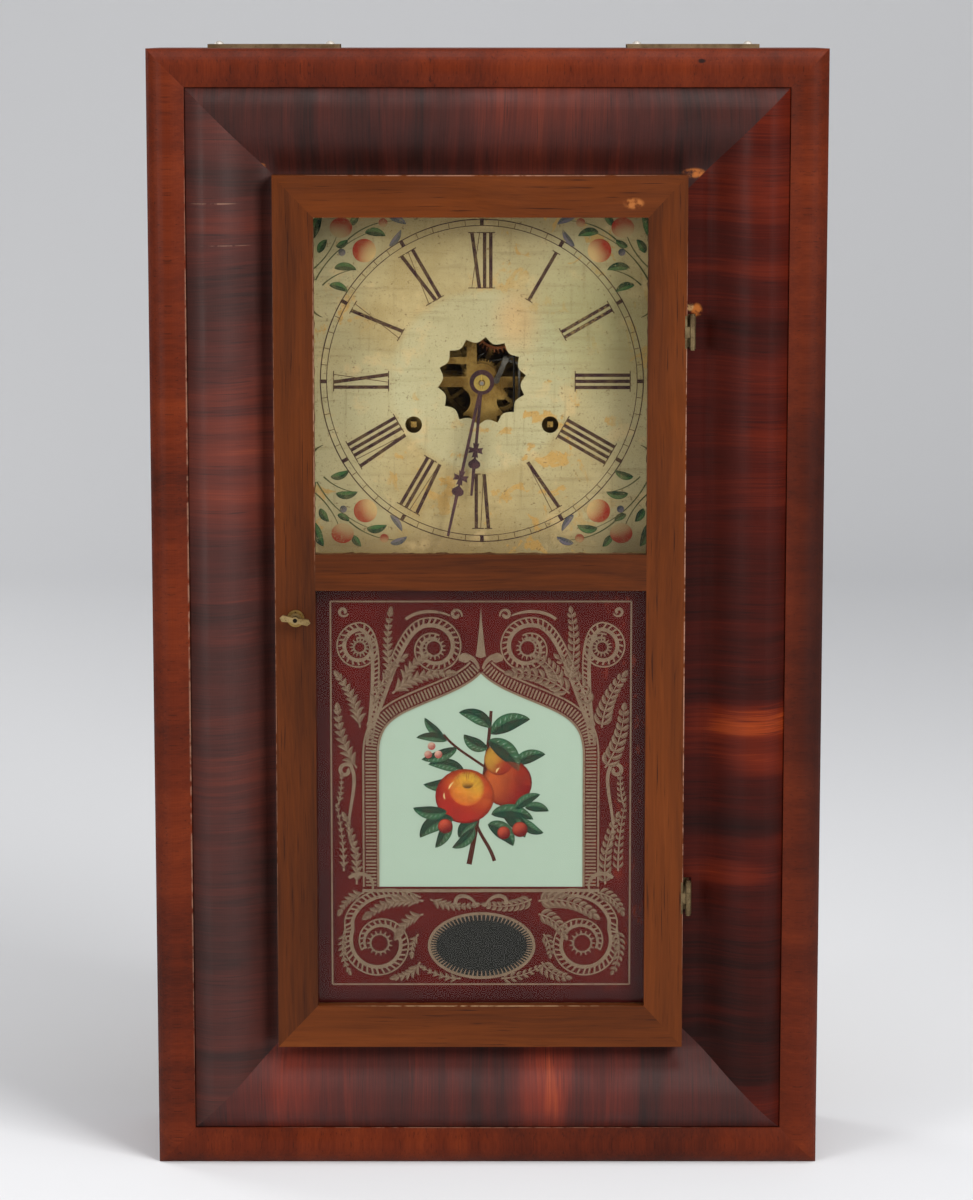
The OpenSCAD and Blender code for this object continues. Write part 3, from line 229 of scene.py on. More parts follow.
def fibres(made, base, grain, along, scale, detail, rough=0.5, distort=0, shift=(0, 0, 0)):
    """Noise stretched by 1 / along on the grain's axis, or on both axes where the grain climbs a slope."""
    stretch = [along if axis in grain else 1 for axis in "xyz"]
    return made.noise(scale, detail, rough, distort, stretch=stretch, shift=shift, source=base)


def wandering(made, base, grain, along, scale, amount):
    """base moved off sideways to the grain by a slow noise, so that the figure wanders."""
    lift = made.times(fibres(made, base, grain, along, scale, 2), amount)
    aside = made.node("CombineXYZ", {axis.upper(): lift for axis in "xyz" if axis not in grain}).outputs[0]
    return made.node("VectorMath", {0: base, 1: aside}, operation="ADD").outputs[0]


def wood(name, grain, tones, shift=(0, 0, 0), **looks):
    """Wood whose grain runs along one axis, or up a slope along two."""
    made = Finish(name)
    return finish_wood(made, made.at(shift=shift), grain, tones, **looks)


def split_wood(name, tones, **looks):
    """Wood of a mitred frame: the grain runs across each member, so it turns at the four mitres."""
    made = Finish(name)
    x, y, z = made.axes()
    from_side = made.minus(HALF_WIDTH * MM, made.apart(x, 0))
    from_end = made.minus(HALF_HEIGHT * MM, made.apart(z, HALF_HEIGHT * MM))
    swapped = made.node("CombineXYZ", {"X": z, "Y": y, "Z": x}).outputs[0]
    pick = made.node("Mix", data_type="VECTOR")
    for number, value in ((0, made.sums("LESS_THAN", from_side, from_end)), (4, swapped), (5, made.place)):
        made.set(pick.inputs[number], value)
    return finish_wood(made, pick.outputs[1], "x", tones, **looks)


def finish_wood(made, base, grain, tones, figure=9, flames=(), shade=(), wear=(), gloss=0.46, coat=0.02,
                pores=0.5, shine=0.11):
    """Wood from four stretched noises: broad figure, streaks, fine lines and pores.

    flames are lighter ellipsoids and shade darker ones (middle, half widths, strength), and wear adds a
    colour
    to each: chips, scratches and rubbed edges, and pale lines along lit arrises that are painted highlights.
    """
    bent = wandering(made, base, grain, 0.6, 6, 0.03)
    broad = fibres(made, bent, grain, 0.16, figure, 4, 0.6, 0.6)
    streak = fibres(made, bent, grain, 0.05, figure * 11, 4, 0.65)
    lines = fibres(made, bent, grain, 0.02, 850, 3, 0.65)
    fine = fibres(made, base, grain, 0.025, 900, 2, 0.7)
    value = made.plus(made.times(broad, 0.95), made.times(streak, 0.42))
    value = made.minus(made.plus(value, made.times(lines, 0.3)), 0.34)
    for middle, size, strength in flames:
        value = made.plus(value, made.spot(middle, size, 0.9, strength))
    colour = made.ramp(value, (0.3, 0.5, 0.68, 0.92), tones)
    colour = made.over(colour, PORE, fine, 0.4, 0.3, pores)
    for middle, size, strength in shade:
        colour = made.mix(made.spot(middle, size, 0.9, strength), colour, SHADED)
    crumbs = made.spread(made.noise(160, 3, 0.6, shift=(0.2, 0.1, 0.4)), 0.36, 0.56)
    # Chips, scratches, gaps and rubbed edges; the pale lines along lit arrises are painted highlights.
    for middle, size, strength, tint in wear:
        share = made.times(made.spot(middle, size, 0.5, strength), crumbs)
        colour = made.mix(share, colour, tint)
    rough = made.spread(made.noise(26, 5, 0.7), 0.3, 0.7, gloss - 0.07, gloss + 0.12)
    relief = made.bump(broad, 0.15, 0.0015, made.bump(fine, 0.25, 0.0002))
    return made.surface(colour, rough, relief, shine, coat=coat)


def bare_pine(name, grain):
    """Old unpainted pine: growth lines that crowd and spread, a few dark streaks, soil and plane marks."""
    made = Finish(name)
    bent = wandering(made, made.place, grain, 0.25, 5, 0.09)
    growth = fibres(made, bent, grain, 0.03, 70, 3, 0.55, shift=(0.3, 0.2, 0.1))
    hair = fibres(made, bent, grain, 0.015, 600, 2, 0.6)
    value = made.plus(made.times(growth, 0.8), made.times(hair, 0.2))
    colour = made.ramp(value, (0.3, 0.43, 0.56, 0.75), PINE)
    rings = fibres(made, bent, grain, 0.012, 190, 3, 0.6, shift=(0.6, 0.1, 0.8))
    colour = made.over(colour, (122, 82, 46), rings, 0.52, 0.6, 0.42)
    split = fibres(made, bent, grain, 0.02, 420, 2, 0.7, shift=(0.2, 0.9, 0.4))
    colour = made.over(colour, (66, 44, 28), split, 0.64, 0.69, 0.6)
    colour = made.over(colour, (92, 66, 42), made.noise(14, 5, 0.65), 0.45, 0.8, 0.45)
    plane = fibres(made, made.place, grain, 0.1, 160, 2)
    relief = made.bump(plane, 0.3, 0.0004, made.bump(hair, 0.3, 0.0002))
    return made.surface(colour, 0.82, relief, 0.2)


# ---------- metals, dial paint and glass ----------


def metal(name, light, dark, spots, rough=0.38, metallic=0.95, grain=60, relief_depth=0.0002, marks=()):
    """Worn metal: a clean tone that darkens and dulls in soft patches, with small spots and scratches.

    marks are places (middle, half widths, colour) of another tone, such as a steel pin in a brass wheel.
    """
    made = Finish(name)
    patch = made.noise(grain, 5, 0.65)
    speck = made.noise(grain * 14, 3, 0.6)
    scratch = made.noise(grain * 9, 2, 0.6, stretch=(1, 1, 14))
    colour = made.over(dark, light, patch, 0.36, 0.66)
    colour = made.over(colour, spots, speck, 0.6, 0.72, 0.8)
    for middle, size, tint in marks:
        colour = made.mix(made.spot(middle, size, 0.15), colour, tint)
    roughness = made.spread(patch, 0.3, 0.7, rough + 0.16, rough - 0.06)
    relief = made.bump(speck, 0.3, relief_depth, made.bump(scratch, 0.15, relief_depth))
    return made.surface(colour, roughness, relief, metallic=metallic)


def dial_paint():
    """Cream paint on zinc: soft mottling, a browner rim, brown freckles and patches worn to ochre.

    Noises and soft ellipsoids lay one tone after another over the cream, and bare zinc shows on the back.
    """
    made = Finish("dial_paint")
    mottle = made.noise(26, 5, 0.6)
    colour = made.over((182, 160, 112), (206, 186, 140), mottle, 0.32, 0.68)
    cloud = made.noise(9, 3, 0.5, shift=(0.4, 0, 0.7))
    colour = made.over(colour, (194, 188, 152), cloud, 0.4, 0.66, 0.75)
    middle = made.spot((DIAL_MIDDLE[0], DIAL_FACE, DIAL_MIDDLE[1]), (56, 50, 56), 0.12, 0.5)
    colour = made.mix(middle, colour, (202, 200, 166))
    _, y, z = made.axes()
    rim = made.spread(made.apart(z, DIAL_MIDDLE[1] * MM), 0.08, 0.099)
    rim = made.times(rim, made.spread(mottle, 0.25, 0.7, 0.25, 0.75))
    colour = made.mix(rim, colour, (150, 122, 80))
    warm = made.spot((18, DIAL_FACE, 500), (20, 30, 26), 0.9, 0.55)
    colour = made.mix(warm, colour, (226, 170, 112))
    flake = made.noise(75, 4, 0.62, 0.6, shift=(0.11, 0, 0.35))
    where = made.noise(14, 2, shift=(2.1, 0, 0.2))
    where = made.plus(where, made.spot((35, DIAL_FACE, 425), (70, 30, 40), 0.9, 0.14))
    worn = made.times(made.spread(flake, 0.57, 0.62), made.spread(where, 0.5, 0.64))
    colour = made.mix(made.times(worn, 0.85), colour, (204, 160, 88))
    pale = made.noise(48, 4, 0.6, shift=(1.3, 0, 2.2))
    colour = made.over(colour, (226, 196, 146), pale, 0.56, 0.7, 0.55)
    cool = made.spot((62, DIAL_FACE, 500), (60, 30, 62), 0.9, 0.6)
    colour = made.mix(cool, colour, (158, 156, 112))
    scratch = made.noise(300, 3, 0.7, stretch=(1, 1, 0.06), shift=(0, 0, 0.6), turn=(0, 0.3, 0))
    brush = made.noise(260, 3, 0.7, stretch=(0.08, 1, 1), shift=(0.5, 0, 0))
    grit = made.plus(made.spread(scratch, 0.55, 0.75, 0, 0.3), made.spread(brush, 0.52, 0.75, 0, 0.3))
    colour = made.mix(grit, colour, (138, 118, 80))
    dust = made.noise(900, 2, 0.6, shift=(0.7, 0, 0))
    colour = made.over(colour, (120, 98, 64), dust, 0.6, 0.68, 0.4)
    colour = made.over(colour, (112, 86, 52), made.noise(420, 2, 0.7), 0.65, 0.71, 0.6)
    zinc = made.mix(mottle, (92, 94, 96), (150, 152, 152))
    colour = made.over(colour, zinc, y, (DIAL_FACE + 0.4) * MM, (DIAL_FACE + 0.6) * MM)
    relief = made.bump(mottle, 0.25, 0.0004, made.bump(worn, -0.4, 0.0002))
    return made.surface(colour, 0.62, relief, 0.3)


def old_glass():
    """Thin glass: light passes straight through and a slightly wavy front mirrors what is before it."""
    made = Finish("old_glass")
    wave = made.bump(made.noise(9, 2), 0.05, 0.004)
    clear = made.node("BsdfTransparent", {"Color": tone((250, 250, 247))}).outputs[0]
    shine = made.node("BsdfGlossy", {"Roughness": 0.03, "Normal": wave}).outputs[0]
    share = made.times(made.node("Fresnel", {"IOR": 1.45}).outputs[0], 0.25)
    return made.show(made.node("MixShader", {0: share, 1: clear, 2: shine}).outputs[0])


# ---------- finishes of the CAD pieces ----------


def dress(names, material):
    """Gives each of these pieces the material and no other."""
    for name in names.split():
        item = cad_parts[name]
        item.data.materials.clear()
        item.data.materials.append(material)


LEFT_PULLEY, RIGHT_PULLEY = -124.7, 120
COVER_NAILS = [(x + side * 32.5, 14, 660) for x in (LEFT_PULLEY, RIGHT_PULLEY) for side in (-1, 1)]

dress("ogee_left", wood(
    "mahogany_left", "xy", DARK_MAHOGANY, figure=8, gloss=0.55, shine=0.35,
    flames=[((-150, -50, 318), (60, 60, 14), 0.14)], shade=[((-150, -50, 250), (70, 70, 60), 0.25)],
    wear=[((-157, -50, 569), (16, 60, 0.6), 0.5, PALE_WEAR_AND_HIGHLIGHT), ((-150, -50, 545), (18, 60, 0.4), 0.35, PALE_WEAR_AND_HIGHLIGHT),
          ((-146, -50, 35), (1.6, 60, 15), 0.7, (120, 66, 44)), ((-143, -50, 36), (1.2, 60, 18), 0.9, GAP)]))
# The right member's darker red tones are painted shade.
dress("ogee_right", wood(
    "mahogany_right", "xy", RED_MAHOGANY_IN_SHADE, figure=7, shift=(0.3, 0, 0.55),
    flames=[((150, -50, 268), (60, 60, 17), 0.3), ((160, -50, 245), (40, 60, 12), 0.22),
            ((140, -50, 176), (50, 60, 14), 0.2), ((165, -50, 420), (40, 60, 60), 0.06)],
    shade=[((140, -50, 205), (60, 60, 14), 0.5)],
    wear=[((121, -48, 507), (4, 60, 5), 1, CHIP), ((117, -48, 509), (3, 60, 3), 0.8, (190, 150, 100))]))
dress("ogee_top", wood(
    "mahogany_top", "zy", DARK_MAHOGANY, gloss=0.55, shine=0.25, shift=(0.7, 0, 0.1),
    flames=[((-90, -50, 620), (50, 60, 60), 0.08)], shade=[((40, -50, 600), (50, 60, 60), 0.3)],
    wear=[((-130, -50, 590), (3, 60, 2.2), 1, CHIP), ((119, -48, 586), (8, 60, 3.5), 1, CHIP),
          ((112, -48, 581), (4, 60, 2), 0.8, (190, 140, 70))]))
dress("ogee_bottom", wood(
    "mahogany_bottom", "zy", RED_MAHOGANY, gloss=0.55, shine=0.35, shift=(0.15, 0, 0.9),
    flames=[((35, -50, 50), (24, 60, 60), 0.24)], shade=[((-60, -50, 40), (70, 60, 60), 0.3)],
    wear=[((-157, -50, 22.4), (14, 60, 1.1), 1, GAP)]))
dress("outer_band", split_wood(
    "mahogany_band", BAND_MAHOGANY, figure=10, shade=[((197, -50, 330), (30, 40, 360), 0.75)], pores=0.45,
    # Edge lines: the left ones are rubbed and also painted highlights, the right outer and the top ones are
    # painted highlights, and the bottom inner one is rubbed.
    wear=[((-173.8, -48, 330), (0.9, 4, 330), 0.6, PALE_WEAR_AND_HIGHLIGHT), ((-195.5, -49, 330), (0.8, 3, 340), 0.5, PALE_WEAR_AND_HIGHLIGHT),
          ((195.5, -49, 330), (0.9, 3, 340), 0.6, (176, 148, 138)),
          ((0, -49, 657), (200, 3, 0.8), 0.6, PALE_WEAR_AND_HIGHLIGHT), ((0, -48, 22.2), (174, 4, 0.8), 0.5, PALE_WEAR_AND_HIGHLIGHT),
          ((122, -50, 650), (3, 12, 1.6), 0.9, GAP)]))
dress("case_side_left case_side_right", wood("mahogany_sides", "z", BAND_MAHOGANY, figure=11, coat=0.03))
dress("case_top", wood("mahogany_case_top", "x", BAND_MAHOGANY, figure=11, gloss=0.5, coat=0.03))
dress("door_latch_stile door_hinge_stile", wood(
    "door_mahogany_upright", "z", DOOR_MAHOGANY, figure=14, pores=0.7,
    # The pale lines on the right edge and on the left side of the upper opening are painted highlights; the
    # left edge line is rubbed.
    wear=[((115, -50, 330), (0.8, 1.2, 256), 0.7, (170, 130, 112)),
          ((-123.7, -50, 330), (0.6, 1.2, 256), 0.4, PALE_WEAR_AND_HIGHLIGHT),
          ((-100.4, -50, 450), (0.6, 1.5, 112), 0.6, (160, 124, 100))]))
dress("door_top_rail door_middle_rail door_bottom_rail", wood(
    "door_mahogany_across", "x", DOOR_MAHOGANY, figure=14, pores=0.7, shift=(0.2, 0, 0.3),
    # A chip, then pale lines along the top arris and the bottom rail's rebate that are painted highlights.
    wear=[((84, -50, 569), (7, 6, 4), 0.7, (170, 104, 52)),
          ((0, -50, 585.2), (124, 1.2, 0.7), 0.7, (160, 120, 100)),
          ((-4, -50, 96.8), (98, 2, 0.7), 0.7, (166, 134, 100))]))
dress("backboard partitions dial_battens movement_cleats pulley_left pulley_right",
      bare_pine("pine_upright", "z"))
dress("case_bottom", bare_pine("pine_across", "x"))
dress("latch_plate pendulum_bob", metal("aged_brass", (178, 146, 84), (104, 80, 44), (70, 54, 34)))
dress("hinge_case_halves hinge_door_halves",
      metal("dull_hinge_brass", (134, 116, 84), (84, 68, 48), (54, 40, 28), 0.5))
dress("latch_turn", metal(
    "latch_brass", (182, 156, 108), (112, 90, 54), (64, 50, 32), 0.36,
    marks=[((-111.7, -54, 328.5), (1.9, 8, 1.9), (34, 28, 22))]))
dress("front_plate back_plate plate_pillars center_wheel hour_wheel minute_wheel third_wheel warning_wheel "
      "time_great_wheel strike_great_wheel time_drum strike_drum strike_pin_wheel", metal(
          "movement_brass", (196, 160, 92), (138, 106, 56), (78, 60, 34), 0.46,
          marks=[((DIAL_MIDDLE[0], -26, DIAL_MIDDLE[1]), (1.7, 8, 1.7), (150, 146, 146))]))
dress("hand_washer", metal("washer_brass", (226, 196, 112), (190, 158, 84), (120, 92, 48), 0.34))
dress("escape_wheel", metal("tarnished_brass", (208, 130, 78), (160, 92, 54), (92, 50, 32), 0.55, 0.75))
dress("verge verge_bracket gong_coil hammer fly pulley_pins",
      metal("worn_steel", (150, 146, 140), (92, 86, 80), (70, 48, 34)))
dress("iron_fixings gong_base pendulum_rod", metal(
    "dark_iron", (66, 60, 56), (38, 34, 32), (74, 46, 30), 0.55, 0.7, 45, 0.0006,
    [(place, (4, 4, 3), (196, 190, 182)) for place in COVER_NAILS]))
dress("time_weight strike_weight",
      metal("cast_weight", (60, 56, 52), (34, 31, 30), (84, 52, 32), 0.7, 0.4, 60, 0.0012))
dress("pulley_covers", metal("dull_tin", (150, 128, 98), (104, 84, 60), (96, 62, 40), 0.5))
dress("minute_hand hour_hand",
      metal("blued_steel", (96, 62, 68), (60, 38, 46), (104, 70, 62), 0.45, 0.4, 70, 0.0001))
dress("dial_glass tablet_glass", old_glass())
dress("dial", dial_paint())

# ---------- shapes from arrays of points ----------


def mesh_object(name, points, faces, material, smooth):
    mesh = bpy.data.meshes.new(name)
    mesh.from_pydata(points, [], faces)
    mesh.polygons.foreach_set("use_smooth", [smooth] * len(mesh.polygons))
    mesh.materials.append(material)
    item = bpy.data.objects.new(name, mesh)
    bpy.context.collection.objects.link(item)
    return item


def build(name, points, faces, body, material, smooth=False):
    """A mesh object from points in mm, riding on a body."""
    item = mesh_object(name, (np.asarray(points) * MM).tolist(), faces, material, smooth)
    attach(item, body)
    return item


def quads(rows, columns, row_loop=False, column_loop=False):
    """Faces over a grid of points numbered row by row; a loop joins the last row or column to the first."""
    row, column = np.meshgrid(np.arange(rows - (not row_loop)), np.arange(columns - (not column_loop)),
                              indexing="ij")
    after, beside = (row + 1) % rows * columns, (column + 1) % columns
    corners = [row * columns + column, after + column, after + beside, row * columns + beside]
    return np.stack(corners, -1).reshape(-1, 4)


# A face's corners in this order face the other way.
TURNED = [0, 3, 2, 1]


def directions(path):
    """At each point of a path, the unit direction along it and the one to its left."""
    along = np.gradient(path, axis=0)
    along = along / np.maximum(np.linalg.norm(along, axis=1, keepdims=True), 1e-9)
    return along, np.stack([-along[:, 1], along[:, 0]], 1)


def walked(path):
    """The length of a path up to each of its points."""
    return np.concatenate([[0], np.cumsum(np.linalg.norm(np.diff(path, axis=0), axis=1))])


def points_at(path, spots):
    """The points of a path at these lengths along it."""
    return np.stack([np.interp(spots, walked(path), path[:, k]) for k in (0, 1)], 1)


def polar(radius, degrees):
    return radius * np.array([math.cos(math.radians(degrees)), math.sin(math.radians(degrees))])


def ring(middle, turn, wide, high=None):
    """Points at angles, in radians, on a circle or an ellipse with half sizes wide and high."""
    high = wide if high is None else high
    return np.stack([middle[0] + wide * np.cos(turn), middle[1] + high * np.sin(turn)], 1)


def arc(middle, radius, start, end, count):
    """Points on a circle, from start to end degrees, anticlockwise from the right."""
    return ring(middle, np.radians(np.linspace(start, end, count)), radius)


def spiral(middle, outer, inner, start, turns, count=60):
    """A curve whose radius goes from outer to inner with t to the power 0.8, from an angle over turns."""
    share = np.linspace(0, 1, count)
    return ring(middle, np.radians(start + 360 * turns * share), outer + (inner - outer) * share ** 0.8)


def bow(start, end, lift, count=17):
    """Points from start to end on a parabola that stands off the straight line by lift."""
    start, end = np.asarray(start, float), np.asarray(end, float)
    share = np.linspace(0, 1, count)[:, None]
    way = end - start
    side = np.array([-way[1], way[0]]) / max(np.hypot(*way), 1e-9)
    return start + way * share + side * (4 * lift * share * (1 - share))


def bezier(one, two, three, four, count=17):
    """The cubic curve from one to four, pulled toward two and three."""
    one, two, three, four = (np.asarray(point, float) for point in (one, two, three, four))
    share = np.linspace(0, 1, count)[:, None]
    rest = 1 - share
    return rest ** 3 * one + 3 * rest ** 2 * share * two + 3 * rest * share ** 2 * three + share ** 3 * four


def swell(count, start=0):
    """Numbers that follow sin(pi * t) while t goes from start to 1."""
    return np.sin(np.pi * np.linspace(start, 1, count))


# ---------- cords ----------

CORD_RADIUS = 0.8
CORD_DEPTH = 14
CORD_SIDES = 12
TWIST_LENGTH = 8
PULLEY_HEIGHT = 636.9
PULLEY_CORD_RADIUS = 18.3
DRUM_CORD_RADIUS = 13.8
DRUM_HEIGHT = 438.5
WEIGHT_RING_TOP = 159.3
OVER_STEPS = 14


def over_pulley(side, drum, pulley_x):
    """Straight up from the drum's outer side, then round the pulley to the side over the weight."""
    low, high = np.array(drum), np.array([pulley_x, PULLEY_HEIGHT])
    gap = high - low
    lean = math.degrees(math.asin((DRUM_CORD_RADIUS + PULLEY_CORD_RADIUS) / np.hypot(*gap)))
    way = math.degrees(math.atan2(gap[1], gap[0])) + side * lean
    route = [low + polar(DRUM_CORD_RADIUS, way - 90 * side)]
    on, off = way + 90 * side, 90 - 90 * side
    for step in range(OVER_STEPS + 1):
        route.append(high + polar(PULLEY_CORD_RADIUS, on + (off - on) * step / OVER_STEPS))
    return np.array(route)


def twisted_cord(name, route):
    """A three-strand cord: round a centreline, the radius swells three times and turns once in 8 mm."""
    route = np.asarray(route, float)
    length = walked(route)[-1]
    spots = np.linspace(0, length, max(int(length), 2) + 1)
    line = points_at(route, spots)
    left = directions(line)[1]
    turn = np.linspace(0, 2 * np.pi, CORD_SIDES, endpoint=False)
    twist = 2 * np.pi * spots / TWIST_LENGTH
    radius = CORD_RADIUS * (0.87 + 0.13 * np.cos(3 * (turn[None, :] - twist[:, None])))
    x, z = (line[:, None, k] + left[:, None, k] * radius * np.cos(turn) for k in (0, 1))
    grid = np.stack([x, CORD_DEPTH + radius * np.sin(turn), z], -1)
    faces = quads(len(line), CORD_SIDES, column_loop=True)[:, TURNED].tolist()
    last = (len(line) - 1) * CORD_SIDES
    faces += [list(range(CORD_SIDES))[::-1], [last + k for k in range(CORD_SIDES)]]
    item = build(name, grid.reshape(-1, 3), faces, "case", cord_tan, True)
    return item


def hang_cords():
    """For each weight: the stretch over its pulley, and the stretch that shortens as the weight rises."""
    layout = ((1, 36.7, RIGHT_PULLEY, "right", "time"), (-1, -43.3, LEFT_PULLEY, "left", "strike"))
    made = []
    for side, drum_x, pulley_x, hand, train in layout:
        route = over_pulley(side, (drum_x, DRUM_HEIGHT), pulley_x)
        made.append(twisted_cord(f"cord_over_{hand}_pulley", route))
        x = pulley_x + side * PULLEY_CORD_RADIUS
        drop = twisted_cord(f"{train}_cord_to_weight", [(x, PULLEY_HEIGHT), (x, WEIGHT_RING_TOP)])
        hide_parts(f"{train}_weight_cord")
        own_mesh(drop)
    for item in made:
        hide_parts("cords_over_pulleys")


def cord_finish():
    made = Finish("waxed_cord")
    fibre = made.noise(700, 3, 0.7)
    colour = made.mix(fibre, (120, 98, 66), (176, 154, 112))
    return made.surface(colour, 0.85, made.bump(fibre, 0.4, 0.0002), 0.2)


cord_tan = cord_finish()
hang_cords()

# ---------- flat artwork, drawn in the clock's front plane ----------

FRUIT_RINGS, FRUIT_SIDES = 9, 28


class Art:
    """Flat shapes at (x, z) with a colour at each point, laid over each other.

    Each shape lies one rise nearer the front than the one before, unless it is added with level=True.
    """

    def __init__(self, depth, rise=0.002):
        self.depth = depth
        self.rise = rise
        self.points, self.colours, self.faces, self.depths = [], [], [], []
        self.count = 0
        self.layer = 0

    def add(self, points, faces, colours, level=False):
        points = np.asarray(points, float).reshape(-1, 2)
        colours = np.broadcast_to(np.asarray(tone(colours), float)[..., :3], (len(points), 3))
        faces = np.asarray(faces, int)
        one, two, three = (points[faces[:, k]] for k in range(3))
        turn = (two - one)[:, 0] * (three - one)[:, 1] - (two - one)[:, 1] * (three - one)[:, 0]
        faces = np.where((turn < 0)[:, None], faces[:, ::-1], faces)
        self.layer += 0 if level else 1
        self.depths.append(np.full(len(points), self.depth - self.rise * self.layer))
        self.points.append(points)
        self.colours.append(colours)
        self.faces += [tuple(face) for face in (faces + self.count).tolist()]
        self.count += len(points)

    def grid(self, points, colours, row_loop=False, level=False):
        """A sheet of quads over an array of points (rows, columns, 2), in one colour or a colour at each."""
        points = np.asarray(points, float)
        if not isinstance(colours, tuple):
            colours = colours.reshape(-1, 3)
        self.add(points, quads(*points.shape[:2], row_loop), colours, level)

    def ribbon(self, path, width, colour, level=False):
        """A line along path (n, 2) whose width at each point is width."""
        path = np.asarray(path, float)
        side = directions(path)[1] * (np.broadcast_to(width, len(path)) / 2)[:, None]
        self.grid(np.stack([path + side, path - side], 1), colour, level=level)

    def fill(self, outline, colour, holes=()):
        """The inside of an outline, less its holes, cut into triangles."""
        rings = [np.asarray(line, float) for line in (outline, *holes)]
        triangles = tessellate_polygon([[Vector((x, z, 0)) for x, z in line] for line in rings])
        self.add(np.concatenate(rings), triangles, colour)

    def make(self, name, body, material):
        points = np.concatenate(self.points)
        place = np.stack([points[:, 0], np.concatenate(self.depths), points[:, 1]], 1)
        item = build(name, place, self.faces, body, material)
        paint = item.data.attributes.new("paint", "FLOAT_COLOR", "POINT")
        full = np.concatenate([np.concatenate(self.colours), np.ones((len(points), 1))], 1)
        paint.data.foreach_set("color", full.astype(np.float32).ravel())


def linear(colour):
    return np.array(tone(colour)[:3])


def leaf(art, base, tip, width, dark, light, lift=0, vein=None):
    """A pointed leaf on a bowed midrib: half width follows sin(pi * t) ** 0.75, and one half is lighter.

    With a vein colour it also gets a midrib, side veins and short pale strokes on its lighter half.
    """
    rib = bow(base, tip, lift)
    share = np.linspace(0, 1, len(rib))
    along, side = directions(rib)
    half = width / 2 * np.sin(np.pi * share ** 0.85) ** 0.75
    across = np.array([-1, -0.55, -0.04, 0.04, 0.55, 1])
    points = rib[:, None] + side[:, None] * (half[:, None] * across)[..., None]
    dark, light = linear(dark), linear(light)
    blend = np.array([0, 0.25, 0.1, 0.75, 1, 0.55]) * (0.55 + 0.45 * np.sin(np.pi * share))[:, None]
    art.grid(points, dark + (light - dark) * blend[..., None])
    if vein is None:
        return
    art.ribbon(rib[1:-1], width * 0.05, vein)
    for spot in range(3, len(rib) - 3, 2):
        for hand in (-1, 1):
            reach = side[spot] * half[spot] * 0.8 * hand + along[spot] * half[spot] * 0.7
            art.ribbon([rib[spot], rib[spot] + reach], [width * 0.04, 0.05], vein, level=True)
        start = rib[spot] + side[spot] * half[spot] * 0.35
        end = start + side[spot] * half[spot] * 0.4 + along[spot] * half[spot] * 0.3
        art.ribbon([start, end], [width * 0.05, 0.04], light + (1 - light) * 0.25, level=True)


def fruit(art, middle, radius, low, high, toward, squash=1, edge=None):
    """A round fruit: its colour goes from low to high as it turns toward a direction, darker at its edge."""
    out = np.linspace(0, 1, FRUIT_RINGS)
    turn = np.linspace(0, 2 * np.pi, FRUIT_SIDES, endpoint=False)
    x, z = np.cos(turn)[:, None] * out, np.sin(turn)[:, None] * out
    points = np.stack([middle[0] + x * radius, middle[1] + z * radius * squash], -1)
    way = polar(1, toward)
    share = np.clip(0.5 + 0.62 * (x * way[0] + z * way[1]) + 0.22 * out ** 3, 0, 1)[..., None]
    colour = linear(low) + (linear(high) - linear(low)) * (share * share * (3 - 2 * share))
    if edge is not None:
        rim = np.clip((out - 0.82) / 0.18, 0, 1)[None, :, None] * 0.8
        colour = colour + (linear(edge) - colour) * rim
    art.grid(points, colour, row_loop=True)


def paint_finish(name, worn_to, wear, rough=0.6):
    """Old paint in the colours of its points, mottled, and worn through to another tone in specks."""
    made = Finish(name)
    colour = made.over(made.paint(), worn_to, made.noise(180, 4, 0.65), 0.3, 0.75, 0.35)
    speck = made.noise(620, 3, 0.7, shift=(0.3, 0, 0.1))
    cloud = made.noise(30, 3, shift=(0.9, 0, 0.4))
    colour = made.over(colour, worn_to, made.plus(speck, made.times(cloud, 0.5)), 0.86, 0.93, wear)
    return made.surface(colour, rough, specular=0.05)


# ---------- dial: tracks, numbers and corner sprays ----------

NUMBER_LOW, NUMBER_HIGH = 54.6, 86.8
TRACK_IN, TRACK_OUT = 90.9, 94.5
# Each letter's advance, strokes (top, foot, width), and the serifs' ends at the top and at the foot.
GLYPHS = {
    "I": (3.6, [(0, 0, 2)], [(-1.7, 1.7)], [(-1.7, 1.7)]),
    "V": (6.6, [(-2.1, 0.5, 2.1), (2.5, 0.9, 0.45)], [(-3.5, -0.7), (1.4, 3.6)], []),
    "X": (6.8, [(-2.2, 2.2, 2.1), (2.3, -2.3, 0.45)], [(-3.5, -0.8), (1.3, 3.5)], [(-3.5, -1.3), (0.8, 3.5)]),
}
NUMBERS = ("XII", "I", "II", "III", "IIII", "V", "VI", "VII", "VIII", "IX", "X", "XI")
INK, HAIR_INK, SERIF_INK, TICK_INK = (62, 40, 48), (96, 76, 60), (80, 60, 54), (112, 92, 68)
BUD_SIDE = -55
# Each leaf's base, tip, width and lift, and each stem's start, end and lift, out from the dial's middle.
LEAF_SPOTS = [
    ((-99, 84), (-93, 99), 6.5, 1.2), ((-103, 75), (-97.5, 60), 5.2, -1), ((-95, 76), (-90, 84), 4.6, 0.8),
    ((-86, 67), (-73, 66), 4.8, 1.6), ((-89, 57), (-78, 53), 4.6, 1.4), ((-76, 92), (-71, 99), 4.2, 0.6),
    ((-68, 88), (-56, 86), 5, 1.5), ((-85, 80), (-78, 84), 4, -0.8), ((-54, 97), (-44, 93), 4, 0.9),
    ((-54, 80), (-47, 90), 3.6, -0.9),
]
SPRIG_STEMS = [((-98, 52), (-99, 84), 3), ((-99, 66), (-83, 91), -2.5), ((-97, 60), (-66, 88), 4),
               ((-93, 57), (-76, 66), 1.5), ((-78, 84), (-52, 95), 2.5)]


